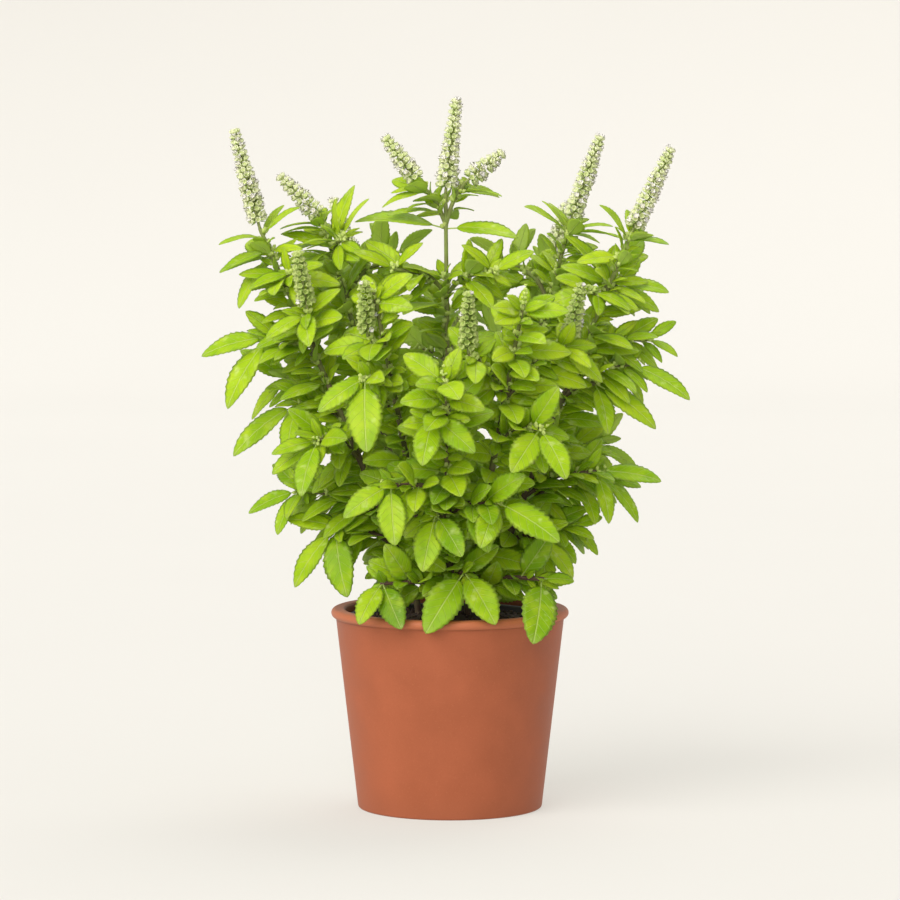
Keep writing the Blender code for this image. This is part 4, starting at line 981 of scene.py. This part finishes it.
def make_fine_pot(look):
    """The pot with its thick rolled rim, a faint step under it and soft edges."""
    low, bead = POT_HEIGHT - RIM_THICK, RIM_THICK / 2
    edge = 0.0012
    wall_top = SHOULDER_RADIUS + (FOOT_RADIUS - SHOULDER_RADIUS) * 0.004
    outer = arc((RIM_RADIUS - bead, POT_HEIGHT - bead), bead, 90, -90, 14)
    profile = [
        (0, POT_FLOOR),
        (FOOT_RADIUS - POT_WALL - 0.003, POT_FLOOR),
        *arc((FOOT_RADIUS - POT_WALL - 0.003, POT_FLOOR + 0.003), 0.003, -90, 0, 5)[1:],
        (SHOULDER_RADIUS - POT_WALL, low - 0.004),
        (SHOULDER_RADIUS - POT_WALL - 0.001, low - 0.001),
        (RIM_INNER_RADIUS + edge, low),
        *arc((RIM_INNER_RADIUS + edge, low + edge), edge, -90, -180, 4)[1:],
        *arc((RIM_INNER_RADIUS + 1.6 * edge, POT_HEIGHT - 1.6 * edge), 1.6 * edge, 180, 90, 6),
        *outer,
        (wall_top + 0.0012, low),
        (wall_top + 0.0003, low - 0.0003),
        (wall_top, low - 0.0012),
        *arc((FOOT_RADIUS - FOOT_ROUND, FOOT_ROUND), FOOT_ROUND, 0, -90, 5),
        (0, 0),
    ]
    piece = Piece()
    # Extra rings keep the long wall's shading even
    full = []
    for (r0, z0), (r1, z1) in zip(profile, profile[1:]):
        parts = 6 if math.hypot(r1 - r0, z1 - z0) > 0.03 and r0 > 0 and r1 > 0 else 1
        full += [(r0 + (r1 - r0) * k / parts, z0 + (z1 - z0) * k / parts) for k in range(parts)]
    add_turned(piece, [*full, profile[-1]], 160)
    return piece.make("pot_fine", look, "pot", "terracotta")


def make_fine_soil(look):
    """Potting mix with a crumbly top, and loose crumbs on it."""
    rng = random.Random(SEED + 5)
    low = POT_FLOOR + GAP + LINER_WALL + GAP
    edge = liner_inner_radius(SOIL_EDGE_HEIGHT) - 1.5 * GAP
    rings, sides = 44, 120
    points = []
    for i in range(1, rings + 1):
        for k in range(sides):
            angle = 2 * math.pi * k / sides
            x, y = edge * i / rings * math.cos(angle), edge * i / rings * math.sin(angle)
            rough = noise.noise(Vector((x, y, 3.1)) / 0.0042) * 0.0011 + noise.noise(Vector((x, y, 7.7)) / 0.0019) * 0.0006
            points.append((x, y, soil_height(x, y) + rough * (1 - (i / rings) ** 8)))
    foot = liner_inner_radius(low) - 1.5 * GAP
    points += [(foot * math.cos(2 * math.pi * k / sides), foot * math.sin(2 * math.pi * k / sides), low) for k in range(sides)]
    points += [(0, 0, soil_height(0, 0)), (0, 0, low)]
    top, bottom = len(points) - 2, len(points) - 1
    faces = [tuple(reversed(face)) for face in grid_faces(rings + 1, sides)]
    faces += [(top, k, (k + 1) % sides) for k in range(sides)]
    faces += [(bottom, rings * sides + (k + 1) % sides, rings * sides + k) for k in range(sides)]
    piece = Piece()
    piece.add(points, faces, tint=0.5)
    ball = bmesh.new()
    bmesh.ops.create_icosphere(ball, subdivisions=1, radius=1)
    corners = [v.co.copy() for v in ball.verts]
    crumb = [tuple(v.index for v in face.verts) for face in ball.faces]
    ball.free()
    for _ in range(520):
        angle, out = rng.uniform(0, 2 * math.pi), edge * 0.965 * math.sqrt(rng.random())
        x, y = out * math.cos(angle), out * math.sin(angle)
        size = rng.uniform(0.0006, 0.0021)
        middle = Vector((x, y, soil_height(x, y) + size * 0.25))
        stretch = Vector([rng.uniform(0.7, 1.2) for _ in range(3)])
        spin = Matrix.Rotation(rng.uniform(0, 6.28), 3, (rng.random(), rng.random(), rng.random()))
        lump = [middle + spin @ (c * stretch) * size * rng.uniform(0.86, 1.1) for c in corners]
        piece.add(lump, crumb, tint=rng.random())
    return piece.make("soil_fine", look, "soil", "soil")


def make_fine_liner(look):
    """The black nursery pot: a thin wall with a rounded lip, and its drain holes."""
    low = POT_FLOOR + GAP
    floor = low + LINER_WALL
    lip_low = LINER_TOP - LINER_LIP_THICK
    lip = 0.0006
    profile = [
        (0, floor),
        (liner_inner_radius(floor), floor),
        (liner_inner_radius(LINER_TOP - lip), LINER_TOP - lip),
        *arc((liner_inner_radius(LINER_TOP) + lip, LINER_TOP - lip), lip, 180, 90, 4)[1:],
        *arc((LINER_LIP_RADIUS - lip, LINER_TOP - lip), lip, 90, 0, 4),
        (LINER_LIP_RADIUS, lip_low),
        (liner_inner_radius(lip_low) + LINER_WALL, lip_low),
        (liner_inner_radius(low) + LINER_WALL, low),
        (0, low),
    ]
    piece = Piece()
    add_turned(piece, profile, 96)
    made = piece.make("liner_fine", look, "liner", "black_plastic")
    holes = Piece()
    for i in range(DRAINS):
        angle = 2 * math.pi * (i + 0.5) / DRAINS
        middle = Vector((math.cos(angle), math.sin(angle), 0)) * DRAIN_CIRCLE_RADIUS
        ring = [
            middle + Vector((math.cos(a) * DRAIN_RADIUS, math.sin(a) * DRAIN_RADIUS, height))
            for height in (low - 0.003, floor + 0.003) for a in np.arange(20) * math.pi / 10
        ]
        holes.add(ring, capped_tube(2, 20))
    cutter = holes.make("drain_holes", look)
    step = made.modifiers.new("drains", "BOOLEAN")
    step.operation = "DIFFERENCE"
    step.object = cutter
    bpy.context.view_layer.update()
    cut = bpy.data.meshes.new_from_object(made.evaluated_get(bpy.context.evaluated_depsgraph_get()))
    made.modifiers.clear()
    made.data = cut
    cut.set_sharp_from_angle(angle=math.radians(35))
    bpy.data.objects.remove(cutter)
    return made


# Tufts of buds in the leaves' angles: from what height on, over how much more, and how many in the crown
BUDS_ABOVE = (0.19, 0.11)
BUDDING = 0.7


def make_plant():
    """All stems, leaves and flower spikes, grown by the same rule as the solids and then filled in."""
    room = Room()
    stems = [main_stem(node, foot, tip) for node, (foot, tip, _) in enumerate(MAIN_STEMS)]
    shoots, plan = grow_shoots(room, stems)
    leaves = grow_leaves(room, shoots, plan)
    large = len(leaves)
    fill_bush(room, shoots, plan, leaves)
    print(large, "large leaves,", len(leaves), "in all")
    rng = random.Random(SEED + 3)
    grades = [(least, BladePattern(teeth, columns)) for least, teeth, columns in BLADE_GRADES]
    for node in range(len(stems)):
        name = f"stem_{node + 1:02d}"
        mine = [number for number, shoot in shoots.items() if shoot.node == node]
        foliage, stalks = Piece(), Piece()
        for number in mine:
            shoot = shoots[number]
            on_it = [leaf for leaf in leaves if leaf.shoot == number]
            knots = {round(share_of(shoot.points, leaf.base), 2) for leaf in on_it}
            add_stem(stalks, shoot, sorted(knots), 8 if shoot.kind == "main" else 6, rng.random())
            if not plan[number][2] and shoot.points[-1].z > BUDS_ABOVE[0]:
                add_young_spike(foliage, room, shoot, rng)
            for leaf in on_it:
                size = (leaf.tip - leaf.base).length
                add_leaf(foliage, leaf, next(pattern for least, pattern in grades if size >= least), rng)
                if rng.random() < BUDDING * ramp(leaf.base.z, *BUDS_ABOVE):
                    add_node_buds(foliage, leaf, rng)
        foliage.make(f"{name}_leaves", leaf_look(f"leaf_{name}"), name, "leaf")
        stalks.make(f"{name}_stalks", stem_look(f"bark_{name}"), name, "leaf")
    spikes = [(*along(shoots[n].points, 1.0), Vector(plan[n][2])) for n in shoots if plan[n][2]]
    for order, (base, heading, tip) in enumerate(spikes):
        name = f"spike_{order + 1:02d}"
        bloom = Piece()
        inner = base.z < INNER_SPIKE
        add_spike(bloom, base, heading, tip, rng, 0.06 if inner else 0.35)
        look = spike_look(f"bloom_{name}", YOUNG_CALYX if inner else CALYX)
        bloom.make(f"{name}_bloom", look, name, "spike")


def share_of(points, place):
    """The share of a path's length at which it passes nearest a place."""
    return min((i / 80 for i in range(81)), key=lambda share: (along(points, share)[0] - place).length)


class Look:
    """A material under construction: adds nodes and joins them up."""

    def __init__(self, name):
        self.material = bpy.data.materials.new(name)
        self.material.use_nodes = True
        self.tree = self.material.node_tree
        self.shader = self.tree.nodes["Principled BSDF"]
        self.result = self.tree.nodes["Material Output"].inputs["Surface"]

    def put(self, socket, value):
        if isinstance(value, bpy.types.NodeSocket):
            self.tree.links.new(value, socket)
        elif socket.type == "RGBA":
            socket.default_value = (*value, 1)
        else:
            socket.default_value = value

    def add(self, kind, inputs, **settings):
        made = self.tree.nodes.new("ShaderNode" + kind)
        for name, value in settings.items():
            setattr(made, name, value)
        for key, value in inputs.items():
            self.put(made.inputs[key], value)
        return made

    def finish(self, **inputs):
        for name, value in inputs.items():
            self.put(self.shader.inputs[name.replace("_", " ")], value)

    def math(self, operation, *values):
        return self.add("Math", dict(enumerate(values)), operation=operation).outputs[0]

    def value(self, name):
        """A number that the mesh holds for each of its points."""
        return self.add("Attribute", {}, attribute_name=name).outputs["Fac"]

    def place(self):
        return self.add("TexCoord", {}).outputs["Object"]

    def uv(self):
        both = self.add("UVMap", {}, uv_map="Shape").outputs["UV"]
        parts = self.add("SeparateXYZ", {0: both})
        return parts.outputs[0], parts.outputs[1]

    def join(self, x, y, z=0.0):
        return self.add("CombineXYZ", {0: x, 1: y, 2: z}).outputs[0]

    def noise(self, where, size, detail=3.0, roughness=0.5):
        """Noise whose grains are about so many metres across."""
        inputs = {"Vector": where, "Scale": 1 / size, "Detail": detail, "Roughness": roughness}
        return self.add("TexNoise", inputs).outputs["Fac"]

    def spread(self, value, low, high, start=0.0, end=1.0, smooth=False):
        kind = "SMOOTHSTEP" if smooth else "LINEAR"
        inputs = {0: value, 1: low, 2: high, 3: start, 4: end}
        return self.add("MapRange", inputs, interpolation_type=kind).outputs[0]

    def mix(self, share, first, second, kind="MIX"):
        return self.add("Mix", {0: share, 6: first, 7: second}, data_type="RGBA", blend_type=kind).outputs[2]

    def bump(self, height, depth, below=None):
        """Relief so many metres deep, over another one if there is one."""
        inputs = {"Height": height, "Distance": depth, "Strength": 1.0}
        if below:
            inputs["Normal"] = below
        return self.add("Bump", inputs).outputs["Normal"]


def leaf_look(name):
    """Leaf green: deeper on old leaves, limy on young ones, with lighter veins, painted pale sheen spots and a paler
    underside.
    """
    look = Look(name)
    across, share = look.uv()
    where = look.place()
    tint, young, under, rim = (look.value(name) for name in ("tint", "young", "under", "rim"))
    side = look.math("ABSOLUTE", across)
    slanted = look.math("SUBTRACT", share, look.math("MULTIPLY", side, look.math("ADD", side, 0.85)))
    phase = look.math("ADD", look.math("MULTIPLY", slanted, 8.0), look.math("MULTIPLY", tint, 0.6))
    near = look.math("PINGPONG", phase, 0.5)
    vein = look.spread(near, 0.085, 0.0, smooth=True)
    midrib = look.spread(side, 0.014, 0.004, smooth=True)
    lines = look.math("MAXIMUM", look.math("MULTIPLY", vein, 0.55), midrib)
    grain = look.noise(where, 0.006, 4.0, 0.6)
    patch = look.noise(where, 0.011, 3.0)
    age = look.math("ADD", look.math("MULTIPLY", young, 0.70), look.math("MULTIPLY", tint, 0.45))
    grown = look.mix(look.spread(age, 0.0, 0.35), (0.12, 0.28, 0.004), (0.30, 0.52, 0.006))
    lime = look.mix(look.spread(age, 0.30, 1.0), grown, (0.56, 0.73, 0.016))
    old_to_young = look.mix(look.spread(young, 1.2, 1.8), lime, (0.80, 0.88, 0.36))
    mottled = look.mix(look.spread(grain, 0.35, 0.75, 0.0, 0.35), old_to_young, (0.42, 0.64, 0.010))
    deep = look.mix(look.spread(patch, 0.50, 0.28, 0.0, 0.45), mottled, (0.17, 0.38, 0.004))
    warm = look.mix(look.spread(patch, 0.50, 0.75, 0.0, 0.55), deep, (0.64, 0.76, 0.035))
    # Pale spots here are painted sheen: painted highlights on the blades
    painted_sheen_spots = look.spread(look.noise(where, 0.007, 2.0), 0.60, 0.74, 0.0, 0.5)
    with_painted_sheen = look.mix(painted_sheen_spots, warm, (0.76, 0.84, 0.34))
    veined = look.mix(look.math("MULTIPLY", lines, 0.50), with_painted_sheen, (0.74, 0.84, 0.28))
    edge = look.math("MAXIMUM", look.spread(share, 0.84, 1.0, 0.0, 0.45), look.spread(rim, 0.72, 1.0, 0.0, 0.40))
    tipped = look.mix(edge, veined, (0.38, 0.50, 0.14))
    pale = look.mix(0.6, tipped, (0.56, 0.68, 0.24))
    colour = look.mix(under, tipped, pale)
    relief = look.math("SUBTRACT", look.math("MULTIPLY", grain, 0.5), lines)
    turned_over = look.math("MULTIPLY", relief, look.spread(under, 0, 1, 1.0, -1.0))
    normal = look.bump(turned_over, 0.0004)
    gloss = look.math("ADD", look.spread(grain, 0.3, 0.7, 0.33, 0.48), look.math("MULTIPLY", under, 0.2))
    look.finish(Base_Color=colour, Roughness=gloss, Normal=normal)
    look.shader.inputs["Specular IOR Level"].default_value = 0.26
    glow = look.mix(0.5, colour, (0.74, 0.90, 0.02))
    through = look.add("BsdfTranslucent", {"Color": glow, "Normal": normal})
    both = look.add("MixShader", {0: 0.42, 1: look.shader.outputs[0], 2: through.outputs[0]})
    look.put(look.result, both.outputs[0])
    return look.material


def stem_look(name):
    """Bark that is brown-purple low on the plant and green near the tips, with fine lengthwise fibres."""
    look = Look(name)
    around, up = look.uv()
    height = look.value("height")
    where = look.place()
    fibre = look.noise(look.join(look.math("MULTIPLY", around, 0.012), look.math("MULTIPLY", up, 0.08)), 0.0006, 3.0)
    patch = look.noise(where, 0.012, 2.0)
    share = look.math("ADD", look.spread(height, 0.19, 0.40, 0.0, 1.0), look.spread(patch, 0.3, 0.7, -0.25, 0.25))
    colour = look.mix(share, (0.085, 0.042, 0.030), (0.22, 0.30, 0.055))
    streaked = look.mix(look.spread(fibre, 0.4, 0.7, 0.0, 0.45), colour, (0.20, 0.13, 0.085))
    look.finish(Base_Color=streaked, Roughness=look.spread(fibre, 0.3, 0.7, 0.55, 0.75), Normal=look.bump(fibre, 0.0002))
    return look.material


INNER_SPIKE = 0.345
CALYX = ((0.60, 0.70, 0.26), (0.90, 0.91, 0.66), (0.64, 0.58, 0.38))
YOUNG_CALYX = ((0.34, 0.48, 0.08), (0.64, 0.74, 0.26), (0.40, 0.26, 0.11))


def spike_look(name, calyx_colours):
    """Cream-green calyces, browner where the spike is young, with green bracts and whitish flowers."""
    look = Look(name)
    hue, tip = look.value("hue"), look.value("tip")
    where = look.place()
    grain = look.noise(where, 0.0022, 3.0)
    stalk = look.mix(look.spread(hue, 0.0, 0.25), (0.34, 0.38, 0.13), (0.42, 0.58, 0.14))
    foot, mouth, tinge = calyx_colours
    calyx = look.mix(tip, foot, mouth)
    tinged = look.mix(look.spread(grain, 0.56, 0.76, 0.0, 0.35), calyx, tinge)
    tinged = look.mix(look.spread(look.noise(where, 0.009, 2.0), 0.50, 0.62, 0.0, 0.6), tinged, foot)
    green = look.mix(look.spread(hue, 0.25, 0.5), stalk, tinged)
    flower = look.mix(tip, (0.82, 0.78, 0.76), (0.95, 0.94, 0.90))
    colour = look.mix(look.spread(hue, 0.75, 1.0), green, flower)
    look.finish(Base_Color=colour, Roughness=look.spread(grain, 0.3, 0.7, 0.55, 0.72), Normal=look.bump(grain, 0.0002))
    through = look.add("BsdfTranslucent", {"Color": colour})
    both = look.add("MixShader", {0: 0.2, 1: look.shader.outputs[0], 2: through.outputs[0]})
    look.put(look.result, both.outputs[0])
    return look.material


def terracotta_look():
    """Satin terracotta-coloured finish, faintly mottled, with fine specks, a painted highlight on the rim and a darker
    foot.
    """
    look = Look("terracotta_fine")
    where = look.place()
    height = look.add("SeparateXYZ", {0: where}).outputs[2]
    cloud = look.noise(where, 0.030, 4.0, 0.55)
    speck = look.noise(where, 0.0011, 2.0, 0.6)
    base = look.mix(look.spread(cloud, 0.35, 0.70), (0.315, 0.083, 0.033), (0.360, 0.096, 0.040))
    fine = look.mix(look.spread(speck, 0.60, 0.75, 0.0, 0.35), base, (0.44, 0.140, 0.062))
    dark = look.mix(look.spread(speck, 0.38, 0.28, 0.0, 0.35), fine, (0.26, 0.066, 0.026))
    # The rolled rim is painted lighter: a painted highlight
    rim_foot = POT_HEIGHT - RIM_THICK
    rim = look.mix(look.spread(height, rim_foot - 0.0006, rim_foot, 0.0, 0.5), dark, (0.49, 0.160, 0.070))
    # Darker towards the foot
    foot = look.mix(look.spread(height, 0.020, 0.0, 0.0, 0.30, smooth=True), rim, (0.29, 0.085, 0.038))
    relief = look.math("ADD", look.math("MULTIPLY", speck, 0.3), look.noise(where, 0.006, 3.0))
    look.finish(Base_Color=foot, Roughness=look.spread(cloud, 0.3, 0.7, 0.48, 0.60), Normal=look.bump(relief, 0.00008))
    look.shader.inputs["Specular IOR Level"].default_value = 0.28
    return look.material


def plastic_look():
    """Black moulded plastic, scuffed, with a painted grey highlight along the top of its lip."""
    look = Look("black_plastic_fine")
    where = look.place()
    height = look.add("SeparateXYZ", {0: where}).outputs[2]
    scuff = look.noise(where, 0.004, 4.0, 0.65)
    base = look.mix(look.spread(scuff, 0.45, 0.75, 0.0, 0.5), (0.012, 0.013, 0.014), (0.050, 0.050, 0.050))
    # Grey along the top of the lip is a painted highlight
    lip = look.mix(look.spread(height, LINER_TOP - 0.0012, LINER_TOP, 0.0, 0.55), base, (0.16, 0.165, 0.17))
    look.finish(Base_Color=lip, Roughness=look.spread(scuff, 0.3, 0.7, 0.35, 0.55), Normal=look.bump(scuff, 0.0001))
    return look.material


def soil_look():
    """Dark potting mix with paler fibres and grains."""
    look = Look("soil_fine")
    where = look.place()
    tint = look.value("tint")
    grain = look.noise(where, 0.0016, 4.0, 0.7)
    patch = look.noise(where, 0.010, 2.0)
    base = look.mix(look.spread(patch, 0.35, 0.65), (0.020, 0.011, 0.007), (0.050, 0.028, 0.017))
    grains = look.mix(look.spread(grain, 0.55, 0.70, 0.0, 0.6), base, (0.12, 0.075, 0.045))
    colour = look.mix(look.spread(tint, 0.80, 1.0, 0.0, 0.5), grains, (0.16, 0.105, 0.065))
    look.finish(Base_Color=colour, Roughness=look.spread(grain, 0.3, 0.7, 0.8, 0.97), Normal=look.bump(grain, 0.0008))
    return look.material


def stage_look():
    """Pale backdrop paper that is also lit from behind, so that shadows on it stay soft."""
    look = Look("pale_backdrop")
    grain = look.noise(look.place(), 0.35, 2.0)
    colour = look.mix(look.spread(grain, 0.3, 0.7), PALE, tuple(c * 0.99 for c in PALE))
    height = look.add("SeparateXYZ", {0: look.place()}).outputs[2]
    glow = look.mix(look.spread(height, WALL_FROM, WALL_TO), FLOOR_GLOW, WALL_GLOW)
    look.finish(Base_Color=colour, Roughness=1.0, Emission_Color=glow, Emission_Strength=1.0)
    look.shader.inputs["Specular IOR Level"].default_value = 0.0
    return look.material


def make_stage():
    """A wide pale bowl: a level floor that sweeps up into a wall all round."""
    sides = 96
    section = [(FLOOR_REACH * i / 6, 0.0) for i in range(1, 7)]
    section += arc((FLOOR_REACH, SWEEP), SWEEP, -90, 0, 16)[1:]
    section.append((FLOOR_REACH + SWEEP, BOWL_HEIGHT))
    turns = [2 * math.pi * k / sides for k in range(sides)]
    points = [(r * math.cos(a), r * math.sin(a), z) for r, z in section for a in turns] + [(0, 0, 0)]
    faces = [tuple(reversed(face)) for face in grid_faces(len(section), sides)]
    faces += [(len(points) - 1, k, (k + 1) % sides) for k in range(sides)]
    mesh = bpy.data.meshes.new("backdrop")
    mesh.from_pydata(points, [], faces)
    mesh.materials.append(stage_look())
    mesh.shade_smooth()
    bowl = bpy.data.objects.new("backdrop", mesh)
    bpy.context.scene.collection.objects.link(bowl)


def aimed(obj, place, target):
    obj.location = place
    obj.rotation_mode = "QUATERNION"
    obj.rotation_quaternion = (Vector(target) - Vector(place)).to_track_quat("-Z", "Y")
    bpy.context.scene.collection.objects.link(obj)
    return obj


def make_lights():
    for name, place, strength, width, colour in LIGHTS:
        lamp = bpy.data.lights.new(name, "SUN")
        lamp.angle = math.radians(width)
        lamp.energy = strength
        lamp.color = colour
        aimed(bpy.data.objects.new(name, lamp), place, (0, 0, 0))
    world = bpy.data.worlds.new("studio")
    bpy.context.scene.world = world
    world.use_nodes = True
    sky = world.node_tree.nodes["Background"]
    sky.inputs["Color"].default_value = (*WORLD_COLOUR, 1)
    sky.inputs["Strength"].default_value = WORLD_STRENGTH


def make_camera():
    """A long lens a little above the rim, as in the photo."""
    lens = bpy.data.cameras.new("camera")
    lens.sensor_width = 36
    lens.lens = lens.sensor_width * CAMERA_DISTANCE / VIEW_WIDTH
    lens.clip_end = 50
    tilt = math.radians(CAMERA_TILT)
    target = Vector((0, 0, VIEW_HEIGHT))
    place = target + Vector((0, -math.cos(tilt), math.sin(tilt))) * CAMERA_DISTANCE
    bpy.context.scene.camera = aimed(bpy.data.objects.new("camera", lens), place, target)


def main():
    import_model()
    make_fine_pot(terracotta_look())
    make_fine_liner(plastic_look())
    make_fine_soil(soil_look())
    make_plant()
    make_stage()
    make_lights()
    make_camera()
    bpy.context.scene.view_settings.view_transform = "Standard"


main()
